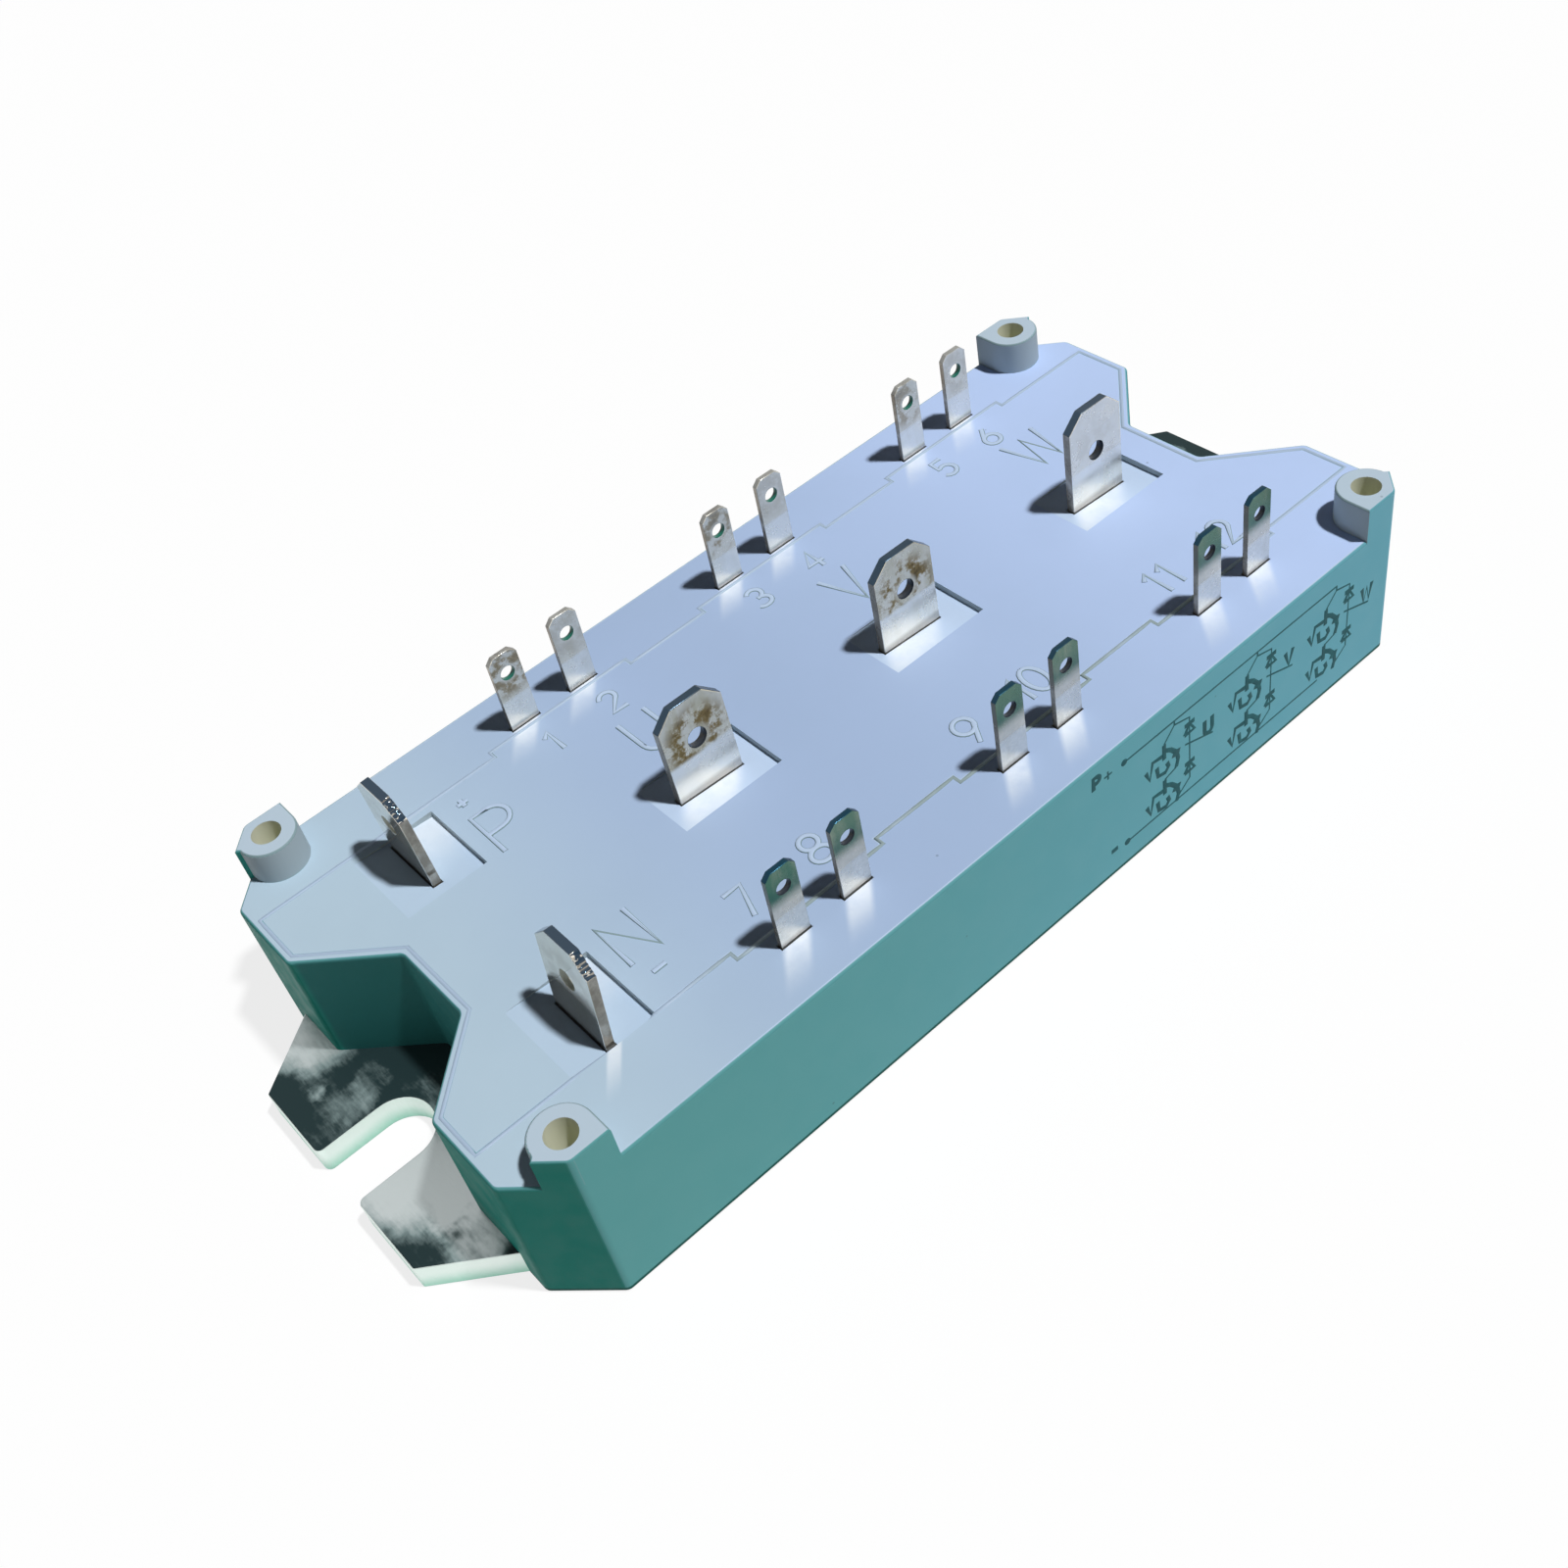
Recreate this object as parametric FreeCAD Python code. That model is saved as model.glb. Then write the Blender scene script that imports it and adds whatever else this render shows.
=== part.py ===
import FreeCAD, Part
import math
import os
from FreeCAD import Vector

# Three-phase IGBT bridge module: a moulded housing on a metal base plate, with
# blade terminals. Millimetres. X runs along the length, Z is up, and the origin
# is at the middle of the underside of the base plate.

# Base plate
plate_thickness = 2.75
plate_overhang = 6.3
plate_end_width = 22.0
plate_corner_run = 12.4
screw_inset = 5.65
screw_slot_width = 6.0
slot_mouth_radius = 0.6

# Housing frame
phase_names = ["u", "v", "w"]
end_block_length = 13.355
housing_top = 14.2
corner_cut_x = 4.3
corner_cut_y = 4.4
notch_mouth = 20.6
notch_floor = 8.0
notch_depth = 6.7
corner_radius = 0.8
top_edge_radius = 0.3
skirt_lift = 0.2
skirt_wall = 2.0
plate_gap = 0.1
side_wall = 3.2
post_wall = 2.3

# Bosses for the circuit board screws
boss_inset_x = 5.2
boss_inset_y = 2.2
boss_radius = 2.5
boss_corner_web = 3.6
boss_height = 3.2
boss_edge_radius = 0.2
boss_bore_radius = 1.25
boss_bore_depth = 10.0

# Power terminals; a blade leans, in degrees, towards the side of its foot
blade_width = 6.3
blade_thickness = 0.8
blade_height = 8.8
blade_height_w = 9.6
lean_angle_p = -2.8
lean_angle_n = 4.6
lean_angle_u = -3.4
blade_corner_x = 1.6
blade_corner_z = 1.5
blade_hole_radius = 0.875
blade_hole_height = 4.9
input_blade_inset = 0.785
positive_blade_margin = 1.4
output_blade_inset_u = 1.47
output_blade_inset_v = 2.05
output_blade_inset_w = 1.85
output_blade_y = -0.25
input_leg_width = 3.2
output_leg_width = 2.4
power_foot_length = 3.6

# Control terminals, two on each side of each phase
pin_width = 2.8
pin_thickness = 0.5
pin_height = 7.8
pin_corner = 0.55
pin_hole_radius = 0.65
pin_hole_height = 5.73
pin_leg_width = 1.6
pin_foot_length = 2.4
pin_row_inset = 5.15
pin_edge_inset = 1.24
pin_spacing = 6.11
terminal_clearance = 0.1

# Lid, with ears that reach out between the control terminals
lid_thickness = 2.0
lid_gap = 0.15
lid_edge_radius = 0.15
rim = 0.75
ledge_width = 1.25
ledge_thickness = 2.0
ear_depth = 0.8
ear_margin = 2.745
far_pin_land = 0.3
near_pin_land = 1.1

# Ramped pockets in the lid around the power terminals
pocket_depth = 0.6
input_pocket_length = 7.5
input_pocket_lead = 3.57
input_pocket_inner_margin = 1.4
input_pocket_outer_margin = 0.55
output_pocket_length = 9.9
output_pocket_width = 6.4
output_pocket_inset = 1.17

# Substrates, one for each phase
solder_thickness = 0.2
copper_thickness = 0.3
ceramic_thickness = 0.4
tile_gap = 0.93
tile_clearance = 1.3
copper_margin = 0.5
island_gap = 0.8
pad_width = 2.9
gate_pad_reach = 2.15
minus_island_width = 5.0

# Chips, with the strips of copper around them that take wires and terminals
igbt_size = 8.0
diode_size = 5.0
chip_thickness = 0.25
chip_gap = 1.0
link_strip = 2.5
terminal_strip = 4.3
phase_chip_margin = 0.8
phase_wire_strip = 1.6
plus_chip_margin = 1.2
plus_wire_strip = 1.4

# Bond wires
wire_radius = 0.15
wire_rise = 1.6
long_wire_rise = 2.4
emitter_wire_pitch = 2.0
diode_wire_pitch = 1.6
chip_landing_inset = 1.4
gate_landing_inset = 0.9
sense_landing_inset = 2.6
island_landing_inset = 1.0
sense_wire_setback = 1.4
wire_foot_gap = 0.65
link_wire_inset = 1.0
link_wire_pitch = 2.0

# Soft potting
gel_top = 9.0

# How far a cutting solid stands past a face, and how near an edge must lie to be picked
above = 5.0
edge_tolerance = 0.01

# Places that follow from the sizes above
phase_island_width = phase_chip_margin + igbt_size + phase_wire_strip
plus_island_width = plus_chip_margin + igbt_size + plus_wire_strip
copper_length_x = link_strip + igbt_size + chip_gap + diode_size + terminal_strip
islands_width = minus_island_width + phase_island_width + plus_island_width
copper_length_y = 2 * pad_width + islands_width + 4 * island_gap
tile_length_x = copper_length_x + 2 * copper_margin
tile_length_y = copper_length_y + 2 * copper_margin
copper_half_x = copper_length_x / 2
copper_half_y = copper_length_y / 2
phase_pitch = tile_length_x + tile_gap
phase_x = {name: phase_pitch * (i - (len(phase_names) - 1) / 2) for i, name in enumerate(phase_names)}

housing_length = len(phase_names) * phase_pitch + 2 * end_block_length
housing_width = tile_length_y + 2 * (tile_clearance + side_wall)
plate_length = housing_length + 2 * plate_overhang
plate_width = housing_width - 2 * (skirt_wall + plate_gap)

plate_top = plate_thickness
back_copper_z = plate_top + solder_thickness
ceramic_z = back_copper_z + copper_thickness
circuit_z = ceramic_z + ceramic_thickness
circuit_top = circuit_z + copper_thickness
chip_top = circuit_top + chip_thickness
lid_bottom = housing_top - lid_thickness
deck_bottom = lid_bottom - ledge_thickness
boss_top = housing_top + boss_height

boss_x = housing_length / 2 - boss_inset_x
boss_y = housing_width / 2 - boss_inset_y
boss_places = [(side_x * boss_x, side_y * boss_y) for side_x in (-1, 1) for side_y in (-1, 1)]
pin_row_y = housing_width / 2 - pin_row_inset
pin_offset = copper_half_x - pin_edge_inset - pin_spacing
pin_x = [phase_x[name] + pin_offset + pin_spacing * j for name in phase_names for j in range(2)]
ear_edge_y = pin_row_y - pin_thickness / 2 - terminal_clearance - lid_gap
lid_far_y = ear_edge_y - far_pin_land - ear_depth
lid_near_y = -(ear_edge_y - near_pin_land - ear_depth)
input_blade_x = -len(phase_names) * phase_pitch / 2 - input_blade_inset
positive_blade_y = lid_far_y - positive_blade_margin - blade_width / 2
negative_blade_y = lid_near_y + terminal_clearance + blade_width / 2
output_blade_x = {
    "u": phase_x["u"] + copper_half_x - output_blade_inset_u,
    "v": phase_x["v"] + copper_half_x - output_blade_inset_v,
    "w": phase_x["w"] + copper_half_x - output_blade_inset_w,
}

minus_island_start = -copper_half_y + pad_width + island_gap
minus_island_end = minus_island_start + minus_island_width
phase_island_start = minus_island_end + island_gap
phase_island_end = phase_island_start + phase_island_width
plus_island_start = phase_island_end + island_gap
plus_island_end = plus_island_start + plus_island_width
pad_start = plus_island_end + island_gap
pad_split = pin_offset + pin_spacing / 2
upper_chip_y = plus_island_end - plus_chip_margin - igbt_size / 2
lower_igbt_y = phase_island_start + phase_chip_margin + igbt_size / 2
lower_diode_y = phase_island_start + phase_chip_margin + diode_size / 2
igbt_x = -copper_half_x + link_strip + igbt_size / 2
diode_x = igbt_x + igbt_size / 2 + chip_gap + diode_size / 2


def box(x0, x1, y0, y1, z0, z1):
    return Part.makeBox(x1 - x0, y1 - y0, z1 - z0, Vector(x0, y0, z0))


def box_at(x, y, size_x, size_y, z0, z1):
    return box(x - size_x / 2, x + size_x / 2, y - size_y / 2, y + size_y / 2, z0, z1)


def upright(x, y, radius, z0, z1):
    return Part.makeCylinder(radius, z1 - z0, Vector(x, y, z0))


def fuse_all(shapes):
    return shapes[0].multiFuse(shapes[1:]).removeSplitter()


def prism(points, z0, z1):
    corners = [Vector(x, y, z0) for x, y in points]
    face = Part.Face(Part.makePolygon(corners + corners[:1]))
    return face.extrude(Vector(0, 0, z1 - z0))


def rounded_prism(points, radius, z0, z1):
    """An upright prism whose corners are arcs of one radius."""
    starts = []
    ends = []
    edges = []
    count = len(points)
    for i in range(count):
        corner = Vector(points[i][0], points[i][1], z0)
        before = (Vector(points[i - 1][0], points[i - 1][1], z0) - corner).normalize()
        after = (Vector(points[(i + 1) % count][0], points[(i + 1) % count][1], z0) - corner).normalize()
        half = before.getAngle(after) / 2
        inward = (before + after).normalize()
        starts.append(corner + before * (radius / math.tan(half)))
        ends.append(corner + after * (radius / math.tan(half)))
        middle = corner + inward * (radius / math.sin(half) - radius)
        edges.append(Part.Arc(starts[i], middle, ends[i]).toShape())
    for i in range(count):
        edges.append(Part.LineSegment(ends[i], starts[(i + 1) % count]).toShape())
    wire = Part.Wire(Part.__sortEdges__(edges))
    return Part.Face(wire).extrude(Vector(0, 0, z1 - z0))


def inset_outline(points, insets):
    """Move each side of a counterclockwise outline inwards by its own inset."""
    count = len(points)
    lines = []
    for i in range(count):
        x0, y0 = points[i]
        x1, y1 = points[(i + 1) % count]
        length = math.hypot(x1 - x0, y1 - y0)
        nx = -(y1 - y0) / length
        ny = (x1 - x0) / length
        lines.append((nx, ny, nx * x0 + ny * y0 + insets[i]))
    moved = []
    for i in range(count):
        a0, b0, c0 = lines[i - 1]
        a1, b1, c1 = lines[i]
        det = a0 * b1 - a1 * b0
        moved.append(((c0 * b1 - c1 * b0) / det, (a0 * c1 - a1 * c0) / det))
    return moved


def mirrored(quarter):
    """Complete an outline from its quarter in +X +Y, given from the end notch to the long side."""
    left = [(-x, y) for x, y in reversed(quarter)]
    return [(x, y) for x, y in quarter] + left + [(-x, -y) for x, y in quarter] + [
        (x, -y) for x, y in reversed(quarter)]


def housing_outline():
    half_x = housing_length / 2
    half_y = housing_width / 2
    return mirrored([
        (half_x - notch_depth, notch_floor / 2),
        (half_x, notch_mouth / 2),
        (half_x, half_y - corner_cut_y),
        (half_x - corner_cut_x, half_y),
    ])


def cavity(z0, z1):
    """The hollow inside the frame, with the corners left solid around the boss bores."""
    end_wall = rim + ledge_width
    half = [end_wall, end_wall, side_wall, side_wall, side_wall, end_wall, end_wall, end_wall]
    hollow = prism(inset_outline(housing_outline(), half + half), z0, z1)
    posts = [upright(x, y, boss_bore_radius + post_wall, z0, z1) for x, y in boss_places]
    return hollow.cut(posts)


def lid_outline(growth):
    half_x = housing_length / 2
    right = [
        (half_x, lid_near_y),
        (half_x, -notch_mouth / 2),
        (half_x - notch_depth, -notch_floor / 2),
        (half_x - notch_depth, notch_floor / 2),
        (half_x, notch_mouth / 2),
        (half_x, lid_far_y),
    ]
    left = [(-x, y) for x, y in reversed(right)]
    end_insets = [rim - growth] * (len(right) - 1)
    return inset_outline(right + left, end_insets + [-growth] + end_insets + [-growth])


def lid_prism(growth, z0, z1):
    """The lid's plan with its ears at the pin pairs, grown on all sides."""
    shapes = [prism(lid_outline(growth), z0, z1)]
    half = (pin_spacing + pin_width) / 2 + ear_margin + growth
    near = lid_near_y - ear_depth - growth
    far = lid_far_y + ear_depth + growth
    for name in phase_names:
        middle = phase_x[name] + pin_offset + pin_spacing / 2
        shapes.append(box(middle - half, middle + half, near, far, z0, z1))
    return fuse_all(shapes)


def plate_outline(growth):
    half_x = plate_length / 2
    quarter = [
        (half_x, plate_end_width / 2),
        (half_x - plate_corner_run, plate_width / 2),
    ]
    outline = mirrored(quarter)
    return inset_outline(outline, [-growth] * len(outline))


def base_plate():
    plate = prism(plate_outline(0.0), 0, plate_thickness)
    for side in (-1, 1):
        mouth = side * plate_length / 2
        centre = mouth - side * screw_inset
        plate = plate.cut(upright(centre, 0, screw_slot_width / 2, 0, plate_thickness))
        span = abs(mouth - centre)
        plate = plate.cut(box_at((centre + mouth) / 2, 0, span, screw_slot_width, 0, plate_thickness))
    corners = []
    for edge in plate.Edges:
        middle = edge.BoundBox.Center
        upright_edge = edge.BoundBox.ZLength > plate_thickness / 2
        at_end = abs(abs(middle.x) - plate_length / 2) < edge_tolerance
        at_slot = abs(abs(middle.y) - screw_slot_width / 2) < edge_tolerance
        if upright_edge and at_end and at_slot:
            corners.append(edge)
    return plate.makeFillet(slot_mouth_radius, corners)


def boss(x, y, limit):
    """A screw boss that runs out flush with the long side and with the cut corner."""
    z0 = housing_top - 2 * top_edge_radius
    reach = boss_radius * 2
    to_side = box(-boss_radius, boss_radius, 0, reach, z0, boss_top)
    if y < 0:
        to_side.rotate(Vector(0, 0, 0), Vector(0, 0, 1), 180)
    to_corner = box(-boss_corner_web / 2, boss_corner_web / 2, 0, reach, z0, boss_top)
    corner_angle = math.degrees(math.atan2(math.copysign(corner_cut_x, y), math.copysign(corner_cut_y, x)))
    to_corner.rotate(Vector(0, 0, 0), Vector(0, 0, 1), corner_angle - 90)
    shape = fuse_all([upright(0, 0, boss_radius, z0, boss_top), to_side, to_corner])
    shape.translate(Vector(x, y, 0))
    shape = shape.common(limit)
    top_edges = [edge for edge in shape.Edges if edge.BoundBox.ZMin > boss_top - edge_tolerance]
    return shape.makeFillet(boss_edge_radius, top_edges)


def outer_shell():
    shell = rounded_prism(housing_outline(), corner_radius, skirt_lift, housing_top)
    top_edges = [edge for edge in shell.Edges if edge.BoundBox.ZMin > housing_top - edge_tolerance]
    shell = shell.makeFillet(top_edge_radius, top_edges)
    limit = rounded_prism(housing_outline(), corner_radius, skirt_lift, boss_top)
    bosses = [boss(x, y, limit) for x, y in boss_places]
    return fuse_all([shell] + bosses)


def pin_slots():
    """Stepped slots in the deck: wide above for the blade, narrow below for its leg."""
    slots = []
    depth = pin_thickness + 2 * terminal_clearance
    wide = pin_width + 2 * terminal_clearance
    narrow = pin_leg_width + 2 * terminal_clearance
    for x in pin_x:
        for y in (-pin_row_y, pin_row_y):
            slots.append(box_at(x, y, wide, depth, lid_bottom, housing_top + above))
            slots.append(box_at(x, y, narrow, depth, deck_bottom - above, lid_bottom))
    return slots


def housing_frame():
    cuts = [prism(plate_outline(plate_gap), -above, plate_top)]
    cuts.append(cavity(plate_top, deck_bottom))
    cuts.append(prism(lid_outline(-ledge_width), deck_bottom, lid_bottom))
    cuts.append(lid_prism(lid_gap, lid_bottom, housing_top + above))
    bore_bottom = boss_top - boss_bore_depth
    for x, y in boss_places:
        cuts.append(upright(x, y, boss_bore_radius, bore_bottom, boss_top + above))
    return outer_shell().cut(cuts + pin_slots())


def ramp(x0, length, y0, y1):
    """A wedge that leaves the top face at x0 and is deepest at its far end."""
    corners = [
        Vector(x0, y0, housing_top),
        Vector(x0 + length, y0, housing_top - pocket_depth),
        Vector(x0 + length, y0, housing_top + above),
        Vector(x0, y0, housing_top + above),
    ]
    face = Part.Face(Part.makePolygon(corners + corners[:1]))
    return face.extrude(Vector(0, y1 - y0, 0))


def lid():
    body = lid_prism(0.0, lid_bottom, housing_top)
    rim_edges = []
    for edge in body.Edges:
        if edge.BoundBox.ZMin > housing_top - edge_tolerance:
            rim_edges.append(edge)
    body = body.makeFillet(lid_edge_radius, rim_edges)
    cuts = []
    start = input_blade_x - input_pocket_lead
    inner_y = positive_blade_y - blade_width / 2 - input_pocket_inner_margin
    outer_y = positive_blade_y + blade_width / 2 + input_pocket_outer_margin
    open_y = lid_near_y - ear_depth
    cuts.append(ramp(start, input_pocket_length, inner_y, outer_y))
    cuts.append(ramp(start, input_pocket_length, open_y, -inner_y))
    half_width = blade_width / 2 + terminal_clearance
    half_thickness = blade_thickness / 2 + terminal_clearance
    slot_top = housing_top + above
    x0 = input_blade_x - half_thickness
    x1 = input_blade_x + half_thickness
    slot_p = positive_blade_y - half_width
    slot_n = negative_blade_y + half_width
    cuts.append(box(x0, x1, slot_p, slot_p + 2 * half_width, lid_bottom, slot_top))
    cuts.append(box(x0, x1, open_y, slot_n, lid_bottom, slot_top))
    for name in phase_names:
        start = phase_x[name] + copper_half_x - output_pocket_inset - output_pocket_length / 2
        cuts.append(ramp(start, output_pocket_length, -output_pocket_width / 2, output_pocket_width / 2))
        x = output_blade_x[name]
        cuts.append(box_at(x, output_blade_y, 2 * half_width, 2 * half_thickness, lid_bottom, slot_top))
    return body.cut(cuts)


def blade(width, thickness, z0, z1, cut_x, cut_z, hole_radius, hole_z):
    """An upright tab across X, middle at the origin, with cut corners and a hole."""
    half = width / 2
    corners = [
        Vector(-half, -thickness / 2, z0),
        Vector(half, -thickness / 2, z0),
        Vector(half, -thickness / 2, z1 - cut_z),
        Vector(half - cut_x, -thickness / 2, z1),
        Vector(-half + cut_x, -thickness / 2, z1),
        Vector(-half, -thickness / 2, z1 - cut_z),
    ]
    face = Part.Face(Part.makePolygon(corners + corners[:1]))
    tab = face.extrude(Vector(0, thickness, 0))
    hole = Part.makeCylinder(hole_radius, thickness, Vector(0, -thickness / 2, hole_z), Vector(0, 1, 0))
    return tab.cut(hole)


def leaning(tab, pivot_z, angle):
    """Bend an upright tab about a line across X at the pivot height, towards -Y."""
    size = 2 * tab.BoundBox.DiagonalLength
    lower = tab.common(box_at(0, 0, size, size, 0, pivot_z))
    upper = tab.common(box_at(0, 0, size, size, pivot_z, pivot_z + size))
    upper.rotate(Vector(0, 0, pivot_z), Vector(1, 0, 0), angle)
    start = Vector(-blade_width / 2, 0, pivot_z)
    bend = Part.makeCylinder(blade_thickness / 2, blade_width, start, Vector(1, 0, 0))
    return fuse_all([lower, bend, upper])


def power_terminal(leg_width, height, lean):
    """Blade, leg and foot of a power terminal across X; the foot points to -Y."""
    hole_z = housing_top + blade_hole_height
    tab = blade(blade_width, blade_thickness, lid_bottom, housing_top + height, blade_corner_x,
                blade_corner_z, blade_hole_radius, hole_z)
    if lean:
        tab = leaning(tab, housing_top + blade_thickness / 2, lean)
    leg = box_at(0, 0, leg_width, blade_thickness, circuit_top, lid_bottom)
    foot = box(-leg_width / 2, leg_width / 2, blade_thickness / 2 - power_foot_length, blade_thickness / 2,
               circuit_top, circuit_top + blade_thickness)
    return fuse_all([tab, leg, foot])


def input_terminal(y, lean):
    terminal = power_terminal(input_leg_width, blade_height, lean)
    terminal.rotate(Vector(0, 0, 0), Vector(0, 0, 1), 90)
    terminal.translate(Vector(input_blade_x, y, 0))
    return terminal


def output_terminal(name, height, lean):
    terminal = power_terminal(output_leg_width, height, lean)
    terminal.translate(Vector(output_blade_x[name], output_blade_y, 0))
    return terminal


def control_terminal(x, side):
    """Blade, leg and foot of a control terminal; the foot points inwards."""
    tab = blade(pin_width, pin_thickness, lid_bottom, housing_top + pin_height, pin_corner, pin_corner,
                pin_hole_radius, housing_top + pin_hole_height)
    leg = box_at(0, 0, pin_leg_width, pin_thickness, circuit_top, lid_bottom)
    foot = box(-pin_leg_width / 2, pin_leg_width / 2, pin_thickness / 2 - pin_foot_length,
               pin_thickness / 2, circuit_top, circuit_top + pin_thickness)
    terminal = fuse_all([tab, leg, foot])
    if side < 0:
        terminal.rotate(Vector(0, 0, 0), Vector(0, 0, 1), 180)
    terminal.translate(Vector(x, side * pin_row_y, 0))
    return terminal


def circuit_islands(name):
    """The copper fields of one substrate: plus, phase and minus, and four control pads."""
    x = phase_x[name]
    left = x - copper_half_x
    right = x + copper_half_x
    fields = [
        (left, right, plus_island_start, plus_island_end),
        (left, right, phase_island_start, phase_island_end),
        (left, right, minus_island_start, minus_island_end),
    ]
    for y0, y1 in ((pad_start, copper_half_y), (-copper_half_y, -pad_start)):
        fields.append((x + pin_offset - gate_pad_reach, x + pad_split - island_gap / 2, y0, y1))
        fields.append((x + pad_split + island_gap / 2, right, y0, y1))
    return [box(x0, x1, y0, y1, circuit_z, circuit_top) for x0, x1, y0, y1 in fields]


def chip(name, x, y, size):
    return box_at(phase_x[name] + x, y, size, size, circuit_top, chip_top)


def wire(start, end, rise):
    """A round wire bowed upwards between two landings, a little into each of them."""
    depth = Vector(0, 0, wire_radius)
    a = Vector(*start) - depth
    b = Vector(*end) - depth
    middle = (a + b) * 0.5 + Vector(0, 0, rise + wire_radius)
    path = Part.Wire(Part.Arc(a, middle, b).toShape())
    first = path.Edges[0]
    tangent = first.tangentAt(first.FirstParameter)
    section = Part.Wire(Part.Circle(a, tangent, wire_radius).toShape())
    return path.makePipeShell([section], True, True)


def down_run(x, chip_y, size, island_y):
    """A wire from near a chip's edge towards -Y down to the next copper field."""
    chip_end = chip_y - size / 2 + chip_landing_inset
    return (x, chip_end, chip_top), (x, island_y, circuit_top), wire_rise


def phase_wires(name, landings):
    """Emitter, diode, gate and sense wires of one phase, ended flush on what they land on."""
    x = phase_x[name]
    phase_y = phase_island_end - island_landing_inset
    minus_y = minus_island_end - island_landing_inset
    pad_y = copper_half_y - pad_width / 2
    runs = []
    for k in (-1, 0, 1):
        wire_x = x + igbt_x + emitter_wire_pitch * k
        runs.append(down_run(wire_x, upper_chip_y, igbt_size, phase_y))
        runs.append(down_run(wire_x, lower_igbt_y, igbt_size, minus_y))
    for k in (-0.5, 0.5):
        wire_x = x + diode_x + diode_wire_pitch * k
        runs.append(down_run(wire_x, upper_chip_y, diode_size, phase_y))
        runs.append(down_run(wire_x, lower_diode_y, diode_size, minus_y))
    gate_x = x + pin_offset - pin_leg_width / 2 - wire_foot_gap
    sense_x = gate_x + pin_spacing
    near_edge = igbt_size / 2 - gate_landing_inset
    off_edge = igbt_size / 2 - sense_landing_inset
    upper_gate = (x + igbt_x + off_edge, upper_chip_y + near_edge, chip_top)
    upper_sense = (x + igbt_x + near_edge, upper_chip_y + off_edge, chip_top)
    lower_gate = (x + igbt_x + near_edge, lower_igbt_y - near_edge, chip_top)
    lower_sense = (sense_x, minus_y - sense_wire_setback, circuit_top)
    runs.append((upper_gate, (gate_x, pad_y, circuit_top), wire_rise))
    runs.append((upper_sense, (sense_x, pad_y, circuit_top), long_wire_rise))
    runs.append((lower_gate, (gate_x, -pad_y, circuit_top), long_wire_rise))
    runs.append((lower_sense, (sense_x, -pad_y, circuit_top), wire_rise))
    return [wire(*run).cut(landings) for run in runs]


def link_wires(landings):
    """Wires that carry the plus and minus fields across the gaps between substrates."""
    shapes = []
    reach = copper_half_x - link_wire_inset
    minus_y = (minus_island_start + minus_island_end) / 2
    rows = [upper_chip_y + link_wire_pitch * k for k in (-1, 0, 1)]
    rows += [minus_y + link_wire_pitch * k for k in (-0.5, 0.5)]
    for left, right in zip(phase_names, phase_names[1:]):
        for y in rows:
            start = (phase_x[left] + reach, y, circuit_top)
            end = (phase_x[right] - reach, y, circuit_top)
            shapes.append(wire(start, end, wire_rise).cut(landings))
    return shapes


def silicone_gel(inner):
    return cavity(plate_top, gel_top).cut(inner)


def make_parts():
    parts = {
        "base_plate": base_plate(),
        "housing_frame": housing_frame(),
        "lid": lid(),
        "power_terminal_p": input_terminal(positive_blade_y, lean_angle_p),
        "power_terminal_n": input_terminal(negative_blade_y, lean_angle_n),
        "power_terminal_u": output_terminal("u", blade_height, lean_angle_u),
        "power_terminal_v": output_terminal("v", blade_height, 0),
        "power_terminal_w": output_terminal("w", blade_height_w, 0),
    }
    for i, x in enumerate(pin_x):
        parts["control_terminal_%d" % (i + 1)] = control_terminal(x, 1)
        parts["control_terminal_%d" % (i + 7)] = control_terminal(x, -1)
    landings = []
    for name in phase_names:
        x = phase_x[name]
        sheet = (copper_length_x, copper_length_y)
        parts["substrate_solder_" + name] = box_at(x, 0, *sheet, plate_top, back_copper_z)
        parts["substrate_back_copper_" + name] = box_at(x, 0, *sheet, back_copper_z, ceramic_z)
        parts["substrate_ceramic_" + name] = box_at(x, 0, tile_length_x, tile_length_y, ceramic_z, circuit_z)
        islands = circuit_islands(name)
        chips = {
            "igbt_chip_upper_": chip(name, igbt_x, upper_chip_y, igbt_size),
            "igbt_chip_lower_": chip(name, igbt_x, lower_igbt_y, igbt_size),
            "diode_chip_upper_": chip(name, diode_x, upper_chip_y, diode_size),
            "diode_chip_lower_": chip(name, diode_x, lower_diode_y, diode_size),
        }
        parts["substrate_circuit_copper_" + name] = Part.makeCompound(islands)
        for label, shape in chips.items():
            parts[label + name] = shape
        landings += islands + list(chips.values())
    for name in phase_names:
        parts["bond_wires_" + name] = Part.makeCompound(phase_wires(name, landings))
    parts["bus_link_wires"] = Part.makeCompound(link_wires(landings))
    outside = ("base_plate", "housing_frame", "lid")
    inner = [solid for name, shape in parts.items() if name not in outside for solid in shape.Solids]
    parts["silicone_gel"] = silicone_gel(inner)
    return parts


def main():
    os.makedirs("parts", exist_ok=True)
    for name, shape in make_parts().items():
        shape.exportStep("parts/%s.step" % name)
        print("%-30s solids %2d  volume %10.2f  valid %s" % (
            name, len(shape.Solids), shape.Volume, shape.isValid()))


main()
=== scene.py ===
import math
import random

import bmesh
import bpy
from mathutils import Matrix, Vector


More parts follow.
